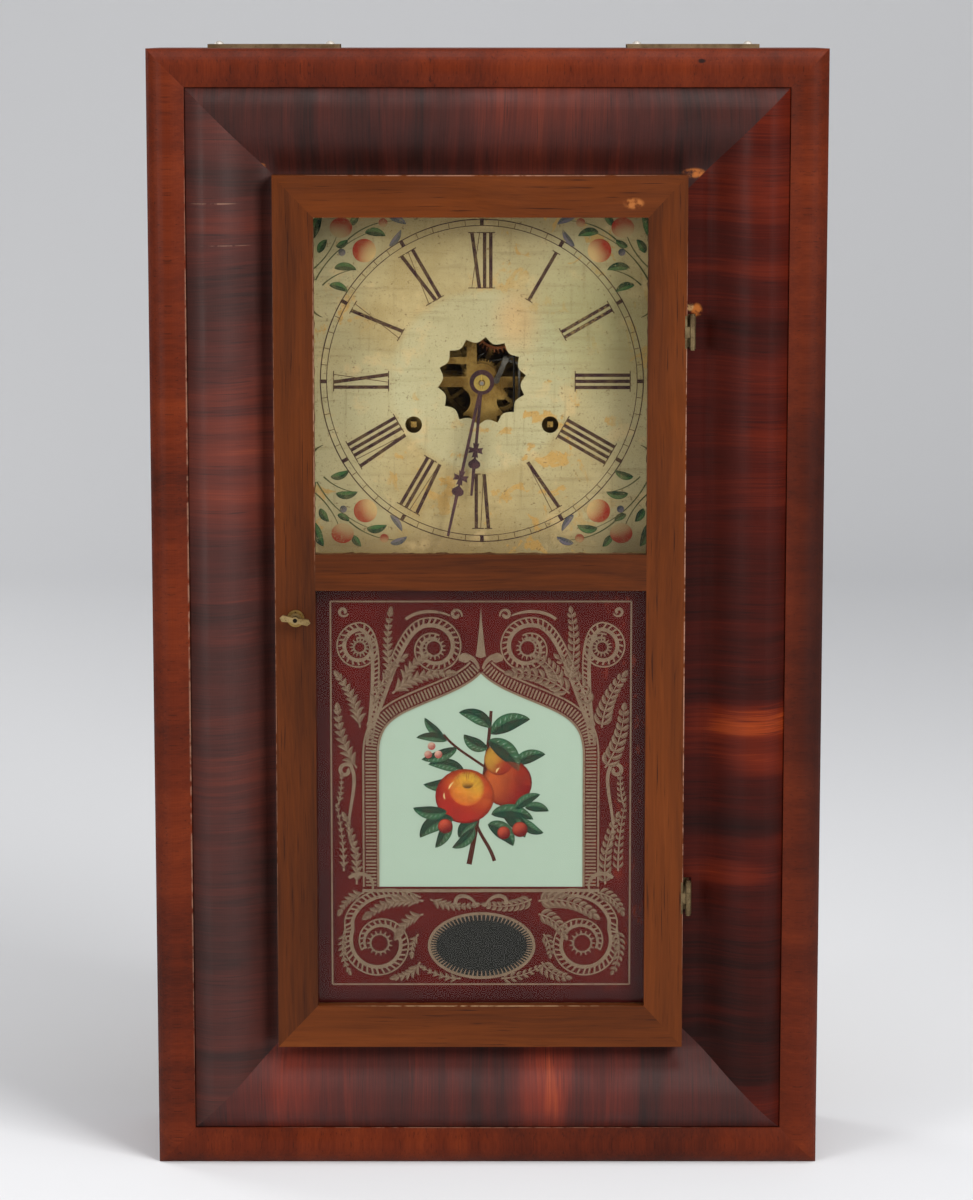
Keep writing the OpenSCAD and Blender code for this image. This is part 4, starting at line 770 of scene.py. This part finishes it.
def on_spoke(hour, side, out):
    """The point that is out from the dial's middle toward an hour, and side to the right of that spoke."""
    turn = math.radians(30 * hour)
    side, out = np.asarray(side, float), np.asarray(out, float)
    x = DIAL_MIDDLE[0] + out * math.sin(turn) + side * math.cos(turn)
    z = DIAL_MIDDLE[1] + out * math.cos(turn) - side * math.sin(turn)
    return np.stack(np.broadcast_arrays(x, z), -1)


def dial_numbers():
    """Roman numbers, feet to the middle: thick and hair strokes with hair lines across their ends."""
    art = Art(DIAL_FACE - 0.06, 0.0003)
    heights = [[NUMBER_HIGH], [(NUMBER_LOW + NUMBER_HIGH) / 2], [NUMBER_LOW]]
    for hour, text in enumerate(NUMBERS):
        spot = -sum(GLYPHS[letter][0] for letter in text) / 2
        for letter in text:
            advance, strokes, tops, feet = GLYPHS[letter]
            middle = spot + advance / 2
            for high, low, width in strokes:
                sides = [[x - width / 2, x + width / 2] for x in (high, (high + low) / 2, low)]
                art.grid(on_spoke(hour, middle + np.array(sides), heights), INK if width > 1 else HAIR_INK)
            for ends, out in ((tops, NUMBER_HIGH), (feet, NUMBER_LOW)):
                for first, last in ends:
                    line = on_spoke(hour, middle + np.array([first - 0.8, last + 0.8]), out)
                    art.ribbon(line, 0.6, SERIF_INK)
            spot += advance
    for radius, width in ((TRACK_OUT, 0.6), (TRACK_IN, 0.42)):
        art.ribbon(arc(DIAL_MIDDLE, radius, 0, 360, 181), width, INK)
    for minute in range(60):
        block = minute % 5 == 0
        ends = on_spoke(minute / 5, 0, [TRACK_IN - 0.2 * block, TRACK_OUT + 0.4 * block])
        art.ribbon(ends, 2.2 if block else 0.45, INK if block else TICK_INK)
    art.make("dial_numbers", "case", paint_finish("dial_ink", (150, 126, 84), 0.75))


def dial_corners():
    """A spray in each corner: two round fruits, pointed leaves, a bud and a thin tendril."""
    art = Art(DIAL_FACE - 0.05)
    blue, lilac, red = (70, 76, 90), (120, 112, 130), (172, 54, 42)
    for right in (-1, 1):
        for up in (-1, 1):
            def place(point, right=right, up=up):
                return (DIAL_MIDDLE[0] - right * point[0], DIAL_MIDDLE[1] + up * point[1] * 0.985)
            for base, tip, width, lift in LEAF_SPOTS:
                pair = (blue, lilac) if base[0] > BUD_SIDE else ((26, 50, 44), (74, 118, 72))
                leaf(art, place(base), place(tip), width, *pair, lift * -right * up)
            for start, end, lift in SPRIG_STEMS:
                path = np.array([place(point) for point in bow(start, end, lift)])
                art.ribbon(path, np.linspace(0.9, 0.35, len(path)), (78, 84, 56))
            fruit(art, place((-82, 91)), 6.6, (198, 172, 128), red, 90 * up + 20 * right, 0.9)
            fruit(art, place((-68.5, 77.5)), 6.9, (222, 188, 132), red, up * (90 - 62 * right))
            fruit(art, place((-57.5, 94)), 2.6, (190, 150, 110), (150, 60, 50), 90)
            fruit(art, place((-81.5, 76.5)), 2.1, lilac, blue, 120)
            stem = np.array([place(point) for point in bow((-101, 50), (-93, 38), -2.5)])
            art.ribbon(stem, 0.25 + swell(len(stem)), (72, 68, 44))
    colours = paint_finish("dial_corner_colours", (172, 156, 112), 0.7)
    art.make("dial_corner_sprays", "case", colours)


dial_numbers()
dial_corners()

# ---------- painted lower glass ----------

TABLET_MIDDLE = -3.9
TABLET = (-104, 96.2, 93.2, 348.4)
BORDER = (-91.9, 84.1, 107.4, 337)
WINDOW_HALF, WINDOW_FOOT, WINDOW_TOP = 60.2, 166.5, 294.5
MEDALLION = ((TABLET_MIDDLE + 0.4, 131), 31, 19.4)
GILT, GILT_DARK, GROUND_RED = (140, 120, 102), (112, 88, 72), (92, 22, 19)
VEIN, TWIG = (28, 62, 50), (74, 34, 26)
LEAF_DARK, LEAF_LIGHT = (18, 50, 42), (66, 116, 84)
HATCH_GAP, HATCH_LEAN, HATCH_LINE = 2.7, 25, 1.1
SCROLL_STEPS = 12
# How far behind the glass's back each coat of paint lies.
GILDING, OVAL, GROUND, FRUIT, WINDOW = 0.95, 0.97, 1.00, 1.20, 1.25
# Each plume's base, tip, lift, pairs of leaflets, their length and their width, on the right half.
UPPER_PLUMES = [
    ((52, 282.5), (19, 294.5), -3.4, 9, 8, 3.4), ((46, 289), (33, 304), -2, 6, 6.4, 2.8),
    ((63, 274), (46, 303), -3, 7, 6.6, 2.6), ((52, 290), (53, 330), -2, 10, 6.4, 2.8),
    ((71, 262), (83, 292), 2.4, 8, 7.6, 3.2),
]
SIDE_PLUMES = [
    ((73, 238), (84, 272), -2.5, 8, 7.6, 3.4), ((73.5, 168), (80, 208), 2.6, 10, 6, 2.8),
    ((81, 176), (84.5, 214), 1, 9, 4.4, 2), ((84, 216), (82, 233), 0.6, 5, 3.8, 1.8),
]
FOOT_PLUMES = [
    ((34, 158), (66, 150), 3.8, 9, 8, 3.6), ((30, 159), (4, 155.5), 2.2, 8, 5.8, 2.8),
    ((34, 150), (49, 138), 2.4, 6, 6.6, 3), ((36, 121), (50, 111.8), -2, 5, 6.4, 2.8),
    ((80, 140), (78.5, 116), 2.6, 7, 5.2, 2.2), ((12, 111), (34, 117.5), -1.6, 6, 4.6, 2.2),
    ((69, 163), (83, 152), 2.4, 6, 5.4, 2.6), ((37, 138), (41, 126), 1.2, 4, 4.6, 2.2),
]
# Each leaf's base, tip, width and lift: behind the fruit, between the two fruits and before them.
BACK_LEAVES = [
    ((-6, 232), (-34, 228), 9, 2.5), ((-10, 236), (-31, 240), 7.5, -2), ((20, 240), (38, 246), 8, 2),
    ((-2, 206), (-13, 196), 8, -2), ((12, 212), (26, 196), 9, 2.5), ((-18, 214), (-31, 204), 8, 2),
    ((6, 262), (-13, 271), 8.5, -2.5), ((6, 258), (29, 267), 10.5, 3), ((-22, 257), (-33, 268), 5.5, 1.5),
    ((-20, 254), (-38, 256), 5.5, -1.5), ((-14, 250), (-35, 243), 7, 1.5), ((4, 250), (-10, 258), 8, 2),
]
MIDDLE_LEAVES = [((4, 254), (22, 236), 11, 3.6)]
FRONT_LEAVES = [
    ((-16, 207), (-36, 196), 10, -3.4), ((-20, 212), (-40, 214), 8, 2), ((4, 204), (19, 191), 10, 3),
    ((6, 210), (31, 207), 9, 3.2), ((20, 213), (35, 222), 6.5, 1.6), ((-4, 202), (-17, 190), 7, 2),
    ((-19, 208), (-27, 190), 7.5, 1.8), ((24, 208), (37, 199), 6.5, -2), ((26, 214), (40, 212), 6, 1.6),
]


def window_edge(grow=0):
    """Right half of the window's outline, from its foot up the side to the point, moved out by grow."""
    side = [[WINDOW_HALF, WINDOW_FOOT], [WINDOW_HALF, 210], [WINDOW_HALF, 235]]
    bend = bezier((WINDOW_HALF, 245), (WINDOW_HALF, 261), (54, 266), (45, 271), 14)
    rise = bezier((45, 271), (28, 279.5), (10, 284), (0, WINDOW_TOP), 14)[1:]
    path = np.concatenate([side, bend, rise])
    path = path - directions(path)[1] * grow
    path[:, 0] = np.maximum(path[:, 0], 0)
    return path


def closed_window(grow=0):
    """The window's whole outline, from right foot over the point to left foot, moved out by grow."""
    right = window_edge(grow)
    right[0, 1] -= grow
    return np.concatenate([right, right[::-1][1:] * (-1, 1)]) + (TABLET_MIDDLE, 0)


def even(path, gap):
    """Points at equal distances along a path, with the direction at each."""
    path = np.asarray(path, float)
    spots = np.arange(gap / 2, walked(path)[-1], gap)
    points = points_at(path, spots)
    along = points_at(path, spots + 0.2) - points
    return points, along / np.maximum(np.linalg.norm(along, axis=1, keepdims=True), 1e-9)


def fullness(count):
    """Shares of a reach along a scroll: they start low, swell to the full reach and die away."""
    return 0.55 + 0.45 * swell(count, 0.12)


def hatched(art, move, path, reach):
    """Short bars set off to one side of a path, like the cut shading of a stencil."""
    points, along = even(path, HATCH_GAP)
    lean = math.radians(HATCH_LEAN)
    side = np.stack([-along[:, 1], along[:, 0]], 1) * np.sign(reach)
    way = side * math.cos(lean) + along * math.sin(lean)
    size = abs(reach) * fullness(len(points))
    for point, step, length in zip(points, way, size):
        art.ribbon(move([point, point + step * length]), HATCH_LINE, GILT, level=True)


def scroll(art, move, path, reach, stem, ends=(0.5, 1)):
    """A swelling stem along a path, laid in short pieces so that it can cross itself.

    With a reach it also gets hatching beside it, out to a second line.
    """
    share = np.linspace(0, 1, len(path))
    width = 1.35 * stem * (ends[0] + (ends[1] - ends[0]) * share + 0.35 * np.sin(np.pi * share))
    starts = range(0, len(path) - 1, SCROLL_STEPS)
    pieces = [slice(start, start + SCROLL_STEPS + 1) for start in starts]
    for piece in pieces:
        art.ribbon(move(path[piece]), width[piece], GILT)
    if reach:
        hatched(art, move, path, reach)
        rail = path + directions(path)[1] * reach * fullness(len(path))[:, None]
        for piece in pieces:
            art.ribbon(move(rail[piece]), 0.9, GILT)


def rosette(art, move, middle, radius):
    """A ring with short rays outside it, for the eye of a scroll."""
    art.ribbon(move(arc(middle, radius, 0, 360, 41)), 1.1, GILT)
    for angle in range(0, 360, 24):
        ends = [middle + polar(radius, angle), middle + polar(radius + 2.4, angle)]
        art.ribbon(move(ends), [1.2, 0.5], GILT, level=True)


def plume(art, move, base, tip, lift, count, length, width):
    """A stem with pairs of pointed leaflets that shorten toward the tip."""
    stem = bow(base, tip, lift, 40)
    art.ribbon(move(stem), np.linspace(1.1, 0.4, len(stem)), GILT)
    points, along = even(stem, walked(stem)[-1] / count)
    for spot, (point, way) in enumerate(zip(points, along)):
        size = length * (1.05 - 0.6 * spot / count)
        for hand in (-1, 1):
            cosine, sine = polar(1, 38 * hand)
            out = np.array([way[0] * cosine - way[1] * sine, way[0] * sine + way[1] * cosine])
            ends = move([point, point + out * size])
            leaf(art, *ends, width * 0.78, GILT_DARK, GILT, 0.16 * size * hand)
    leaf(art, *move([stem[-1], stem[-1] + along[-1] * length * 0.7]), width, GILT_DARK, GILT)


def curl(curve, *turns):
    """A bezier curve that runs on into a spiral."""
    return np.concatenate([curve, spiral(*turns)[1:]])


def gilding_half(art, move):
    """The gilding of the right half: the arch's hatched band, then scrolls, plumes and rosettes."""
    art.ribbon(move(window_edge(0.4)), 1.3, GILT)
    art.ribbon(move(window_edge(9)), 1.1, GILT)
    for point, way in zip(*even(window_edge(4.6), 2.05)):
        side = np.array([way[1], -way[0]]) * 3.1
        bar = side if abs(side[0]) > abs(side[1]) else side * 0.9
        art.ribbon(move([point - bar, point + bar]), 1.05, GILT, level=True)
    art.fill(move([(0, 334), (0.9, 322), (2.4, 308), (3, 304.5), (0, 303.5)]), GILT)
    scroll(art, move, bezier((1.2, 297), (3, 304), (10, 307), (11.5, 301.5), 20), 0, 2)
    scroll(art, move, spiral((9.3, 303.2), 3.4, 1, -20, 1, 26), 0, 1.4)
    big = bezier((64, 262), (54, 284), (47, 318), (33.5, 322.5), 26)
    scroll(art, move, curl(big, (27.5, 309.5), 14.2, 5.4, 68, 1.12, 64), -4.6, 1.5, (1, 0.7))
    small = bezier((67, 252), (64, 276), (59, 319), (71, 320.6), 24)
    scroll(art, move, curl(small, (71, 310), 10.6, 5.4, 90, -1.05, 60), 4.2, 1.4, (1, 0.7))
    scroll(art, move, spiral((14.5, 329.3), 3.6, 1, 200, -1.1, 26), 0, 1.3)
    scroll(art, move, bezier((18, 328.6), (24, 331.5), (36, 333), (44, 326.5), 18), 0, 1.2)
    scroll(art, move, spiral((80.5, 331), 3.2, 1, -160, 1.1, 26), 0, 1.2)
    for each in UPPER_PLUMES:
        plume(art, move, *each)
    rosette(art, move, (27.5, 309.5), 4.6)
    rosette(art, move, (71, 310), 3.4)
    side = bezier((72, 186), (86, 198), (70, 226), (76, 238), 22)
    scroll(art, move, curl(side, (79.6, 236.4), 4.6, 1.4, 155, -1.05, 30), 0, 1.5)
    for each in SIDE_PLUMES:
        plume(art, move, *each)
    low = bezier((37, 157), (54, 166), (72, 160), (76, 146), 26)
    scroll(art, move, curl(low, (60, 132.5), 18, 8.6, 32, -1.15, 70), 4.8, 1.5, (0.8, 0.7))
    rosette(art, move, (60, 132.5), 5.4)
    for each in FOOT_PLUMES:
        plume(art, move, *each)
    art.ribbon(move([(0, 164.3), (70, 164.3)]), 1.9, GILT)
    scroll(art, move, bezier((2, 154.5), (6, 163), (16, 163), (15, 156), 18), 0, 1.5)
    scroll(art, move, bezier((64, 165), (62, 172), (70, 178), (78, 172), 20), 0, 1.5)


def tablet_gilding():
    """The stencilled border: a ruled frame, the two halves of the ornament, and an oval with rays."""
    art = Art(GLASS_BACK + GILDING, 0.001)
    x0, x1, z0, z1 = BORDER
    corners = [(x0, z0), (x1, z0), (x1, z1), (x0, z1), (x0, z0)]
    for first, last in zip(corners, corners[1:]):
        art.ribbon([first, last], 1, GILT)
    for side in (1, -1):
        gilding_half(art, lambda path, side=side: np.asarray(path, float) * (side, 1) + (TABLET_MIDDLE, 0))
    middle, wide, high = MEDALLION
    art.ribbon(ring(middle, np.linspace(0, 2 * np.pi, 97), wide, high), 1.7, GILT)
    turn = np.linspace(0, 2 * np.pi, 72, endpoint=False)
    rays = zip(ring(middle, turn, wide - 1, high - 1), ring(middle, turn, wide - 4.2, high - 4.2))
    for outer, inner in rays:
        art.ribbon([outer, inner], [1, 0.3], GILT, level=True)
    art.make("tablet_gilding", "door", paint_finish("tablet_gilding", (92, 62, 52), 0.6, 0.5))


def tablet_ground():
    """Dark red paint on the back of the glass, with the window left clear and a darker oval."""
    art = Art(GLASS_BACK + GROUND)
    x0, z0, x1, z1 = TABLET
    art.fill([(x0, z0), (x1, z0), (x1, z1), (x0, z1)], GROUND_RED, [closed_window()[::-1]])
    art.make("tablet_ground", "door", red_ground_paint())
    oval = Art(GLASS_BACK + OVAL)
    middle, wide, high = MEDALLION
    oval.fill(ring(middle, np.linspace(0, 2 * np.pi, 64, endpoint=False), wide, high), (42, 42, 42))
    oval.make("tablet_oval", "door", paint_finish("tablet_oval", (54, 54, 52), 0.3))
    back = Art(GLASS_BACK + WINDOW)
    back.fill(closed_window(5), (179, 200, 188))
    back.make("tablet_window", "door", paint_finish("tablet_window", (174, 198, 184), 0.2))


def blush(art, middle, radius, toward, colour):
    """Fine brush strokes that run in from a fruit's edge over a third of a turn."""
    for spot in range(26):
        way = polar(1, toward - 65 + 5 * spot) * (1, 0.94) * radius
        inner = 0.52 + 0.16 * math.sin(spot * 2.4)
        art.ribbon([middle + way * inner, middle + way * 0.93], [0.08, 0.55], colour, level=True)


def tablet_fruit():
    """Fruit in the window: an apple, a pear and cherries among veined leaves, on a forked twig."""
    art = Art(GLASS_BACK + FRUIT, 0.003)

    def here(point):
        return np.add(point, (TABLET_MIDDLE, 0))

    def spray(leaves):
        for base, tip, width, lift in leaves:
            leaf(art, here(base), here(tip), width, LEAF_DARK, LEAF_LIGHT, lift, VEIN)

    pear, apple = here((15.5, 229)), here((-9.5, 221))
    twig = bezier((-7, 180), (-3, 200), (4, 240), (6, 272), 24)
    art.ribbon(here(twig), np.linspace(3.2, 1.8, 24), TWIG)
    fork = bezier((8, 182), (5, 192), (0, 196), (-2.5, 204), 14)
    art.ribbon(here(fork), np.linspace(2.2, 1.8, 14), TWIG)
    art.ribbon(here(bezier((3, 238), (-8, 246), (-16, 250), (-22, 258), 14)), 1.5, TWIG)
    spray(BACK_LEAVES)
    fruit(art, pear, 14.6, (196, 96, 44), (140, 22, 20), -20, 0.98, (84, 14, 14))
    fruit(art, here((10.5, 243)), 8.6, (206, 158, 60), (158, 46, 30), -25, 1.1, (112, 26, 20))
    spray(MIDDLE_LEAVES)
    fruit(art, apple, 17.4, (216, 104, 42), (164, 24, 22), 235, 0.94, (104, 16, 16))
    fruit(art, here((-8.2, 225.5)), 10.4, (238, 186, 64), (222, 126, 46), 235, 1, (208, 84, 38))
    blush(art, pear, 14.6, 60, (168, 58, 34))
    blush(art, apple, 17.4, 250, (196, 60, 40))
    blush(art, apple, 17.4, 60, (178, 34, 26))
    fruit(art, here((-7.8, 228)), 3.4, (96, 68, 30), (214, 152, 52), 90, 0.7)
    for start, end in (((-19, 225), (-16, 229.5)), ((-21, 219), (-21.5, 223)), ((9, 235), (11, 238))):
        shine = bow(here(start), here(end), 0.5, 7)
        art.ribbon(shine, [0.1, 0.6, 0.9, 1, 0.9, 0.6, 0.1], (244, 214, 150))
    spray(FRONT_LEAVES)
    for place, radius in (((-21, 203), 4.4), ((23, 201), 4.6), ((13.5, 199), 3.9)):
        fruit(art, here(place), radius, (206, 84, 60), (112, 20, 24), 300, edge=(70, 12, 16))
    for place in ((-29, 251), (-25, 246), (-31, 246)):
        fruit(art, here(place), 2.3, (216, 176, 160), (176, 92, 88), 300)
    art.make("tablet_fruit", "door", paint_finish("tablet_fruit", (84, 44, 34), 0.25, 0.45))


def red_ground_paint():
    """Dark red reverse painting: browner and darker toward its edges, with scuffed orange specks."""
    made = Finish("tablet_red")
    x, _, z = made.axes()
    side = made.spread(made.apart(x, TABLET_MIDDLE * MM), 0.083, 0.092)
    end = made.spread(made.apart(z, (BORDER[2] + BORDER[3]) / 2 * MM), 0.112, 0.121)
    colour = made.over(made.paint(), (60, 16, 16), made.noise(30, 4, 0.6), 0.35, 0.7, 0.45)
    colour = made.mix(made.times(made.sums("MAXIMUM", side, end), 0.6), colour, (56, 24, 26))
    scuff = made.noise(210, 4, 0.7, stretch=(1, 1, 0.5), shift=(0.4, 0, 0.2))
    share = made.times(made.spread(scuff, 0.58, 0.68), made.spread(x, 0.02, 0.09, 0, 0.5))
    return made.surface(made.mix(share, colour, (132, 44, 24)), 0.55, specular=0.05)


tablet_ground()
tablet_fruit()
tablet_gilding()

# ---------- putty round the glasses and the paper label ----------

PUTTY_WIDE = 3.6
LABEL = (-88, 82, 104, 332)
LABEL_FRONT = 51.45
GONG_BLOCK, GONG_BLOCK_RADIUS = (-31.7, 228), 11.6


def rebate_ring(x0, x1, z0, z1, gap):
    """Points round a rectangle, clockwise from its low left corner, with the way inward at each."""
    corners = np.array([(x0, z0), (x0, z1), (x1, z1), (x1, z0)], float)
    inward = np.array([(1, 0), (0, -1), (-1, 0), (0, 1)], float)
    points, ways = [], []
    for k in range(4):
        start, end = corners[k], corners[(k + 1) % 4]
        count = int(np.linalg.norm(end - start) / gap)
        for step in range(count):
            points.append(start + (end - start) * step / count)
            ways.append(inward[k] + (inward[k - 1] if step == 0 else 0))
    return np.array(points), np.array(ways)


def putty(name, material, x0, x1, z0, z1):
    """A glazier's bead: a triangle in section, with its cut slope slightly hollow and wavy in its length."""
    points, ways = rebate_ring(x0 + 0.1, x1 - 0.1, z0 + 0.1, z1 - 0.1, 2.5)
    along = np.arange(len(points))
    wave = 0.1 * np.sin(along * 0.61) + 0.08 * np.sin(along * 1.73 + 1) + 0.05 * np.sin(along * 3.1 + 2)
    low, high = GLASS_BACK + 1.3, DOOR_BACK - 0.3
    share = np.linspace(0, 1, 6)
    out = np.concatenate([PUTTY_WIDE * (1 - share), [0]])
    depth = np.concatenate([low + (high - low) * share - 0.35 * np.sin(np.pi * share), [low]])
    bulge = np.append(np.sin(np.pi * share), 0)
    reach = out * (1 + wave[:, None] * (out > 0))
    x, z = (points[:, None, k] + ways[:, None, k] * reach for k in (0, 1))
    grid = np.stack([x, depth + 0.6 * wave[:, None] * bulge, z], -1)
    faces = quads(*x.shape, True, True)[:, TURNED]
    build(name, grid.reshape(-1, 3), faces.tolist(), "door", material)


def label():
    """The maker's paper without its text: a sheet on the backboard, torn at its edges and lifting in waves.

    The front is a sheet of squares. Points near an edge are drawn in by sums of sines, and those near the
    gong's block are pushed out to its rim, so that the paper stops there.
    """
    x0, x1, z0, z1 = LABEL
    u, v = np.meshgrid(np.linspace(0, 1, 86), np.linspace(0, 1, 115), indexing="ij")
    tear = 1.6 * np.sin(v * 41) + 1.1 * np.sin(v * 97 + 1) + 0.8 * np.sin(v * 203 + 2)
    rip = 1.5 * np.sin(u * 37 + 3) + 1 * np.sin(u * 88) + 0.7 * np.sin(u * 190 + 1)
    x = x0 + (x1 - x0) * u + tear * (1 - 2 * u) ** 5
    z = z0 + (z1 - z0) * v + rip * (1 - 2 * v) ** 5
    corner = np.clip((u - 0.86) / 0.14, 0, 1) * np.clip((v - 0.88) / 0.12, 0, 1)
    lift = 0.12 + 0.1 * np.sin(u * 19 + v * 7) * np.sin(v * 23 - u * 5) + 3 * corner ** 1.5
    away = np.stack([x - GONG_BLOCK[0], z - GONG_BLOCK[1]], -1)
    far = np.linalg.norm(away, axis=-1)
    inside = far < GONG_BLOCK_RADIUS
    rim = GONG_BLOCK + away / np.maximum(far, 1e-6)[..., None] * GONG_BLOCK_RADIUS
    x = np.where(inside, rim[..., 0], x)
    z = np.where(inside, rim[..., 1], z)
    front = np.stack([x, LABEL_FRONT - lift, z], -1).reshape(-1, 3)
    back = front + (0, 0.1, 0)
    sheet = quads(*u.shape)
    sheet = sheet[~inside.reshape(-1)[sheet].all(1)]
    sides = {}
    for quad in sheet.tolist():
        for first, last in zip(quad, quad[1:] + quad[:1]):
            sides[(first, last)] = (last, first) not in sides
            if (last, first) in sides:
                sides[(last, first)] = False
    total = u.size
    faces = sheet.tolist() + (sheet[:, ::-1] + total).tolist()
    faces += [[last, first, first + total, last + total] for (first, last), is_rim in sides.items() if is_rim]
    build("paper_label", np.concatenate([front, back]), faces, "case", paper_finish(), True)


def paper_finish():
    """Browned paper: foxing, a damp tide mark, darker edges and a plain double rule where the print was."""
    made = Finish("label_paper")
    colour = made.over((176, 140, 92), (206, 176, 128), made.noise(16, 5, 0.65), 0.3, 0.7)
    x, _, z = made.axes()
    x0, x1, z0, z1 = (side * MM for side in LABEL)
    from_side = made.minus((x1 - x0) / 2, made.apart(x, (x0 + x1) / 2))
    from_end = made.minus((z1 - z0) / 2, made.apart(z, (z0 + z1) / 2))
    edge = made.sums("MINIMUM", from_side, from_end)
    colour = made.over(colour, (120, 84, 50), edge, 0.012, 0, 0.7)
    for inset, wide in ((0.011, 0.0009), (0.0135, 0.0003)):
        colour = made.over(colour, (70, 52, 42), made.apart(edge, inset), wide + 0.0002, wide - 0.0001, 0.75)
    foxing = made.noise(130, 3, 0.6, shift=(0.2, 0, 0.5))
    colour = made.over(colour, (140, 92, 50), foxing, 0.6, 0.72, 0.7)
    return made.surface(colour, 0.9, made.bump(made.noise(60, 4, 0.6), 0.4, 0.0008), 0.15)


def putty_finish():
    """Dry putty painted brown long ago: chalky where the paint has gone."""
    made = Finish("dry_putty")
    colour = made.over((92, 62, 42), (150, 126, 98), made.noise(90, 5, 0.65), 0.4, 0.6)
    return made.surface(colour, 0.88, made.bump(made.noise(500, 3, 0.6), 0.5, 0.0004), 0.2)


label()
putty_paint = putty_finish()
putty("dial_glass_putty", putty_paint, -104.2, 96.4, 361.8, 565)
putty("tablet_glass_putty", putty_paint, -104.2, 96.4, 92.7, 348.7)

# ---------- floor and light, in metres ----------


def floor_sheet():
    """A plain pale floor that curves up behind the clock: a profile in depth and height, drawn sideways."""
    turn = np.linspace(0, math.pi / 2, 24)
    depth = np.concatenate([[-16, -1], 2.4 + 1.2 * np.sin(turn), [3.6]])
    height = np.concatenate([[0, 0], 1.2 - 1.2 * np.cos(turn), [7]])
    points = [(side, y, z) for y, z in zip(depth, height) for side in (-14, 14)]
    material = Finish("floor").surface((226, 228, 232), 0.85, specular=0.2)
    mesh_object("floor", points, quads(len(depth), 2)[:, TURNED].tolist(), material, True)


floor_sheet()
lamp("key_lamp", (1.7, -1.9, 1.9), (0, 0, 0.35), 1.3, 1.5, 80, (1, 0.985, 0.96))
lamp("fill_lamp", (-1.9, -1.9, 1), (0, 0, 0.33), 1, 1.4, 26, (1, 0.98, 0.95))
lamp("top_lamp", (0, -0.5, 2.3), (0, 0, 0.3), 1.6, 0.9, 18)
lamp("back_lamp", (-2.4, 1.9, 1.3), (0, 0, 0.33), 1.2, 1.2, 30, (1, 0.98, 0.95))
world = bpy.data.worlds.new("room")
world.use_nodes = True
world.node_tree.nodes["Background"].inputs["Color"].default_value = tone((230, 228, 226))
world.node_tree.nodes["Background"].inputs["Strength"].default_value = 0.3
bpy.context.scene.world = world
bpy.context.scene.view_settings.view_transform = "Standard"
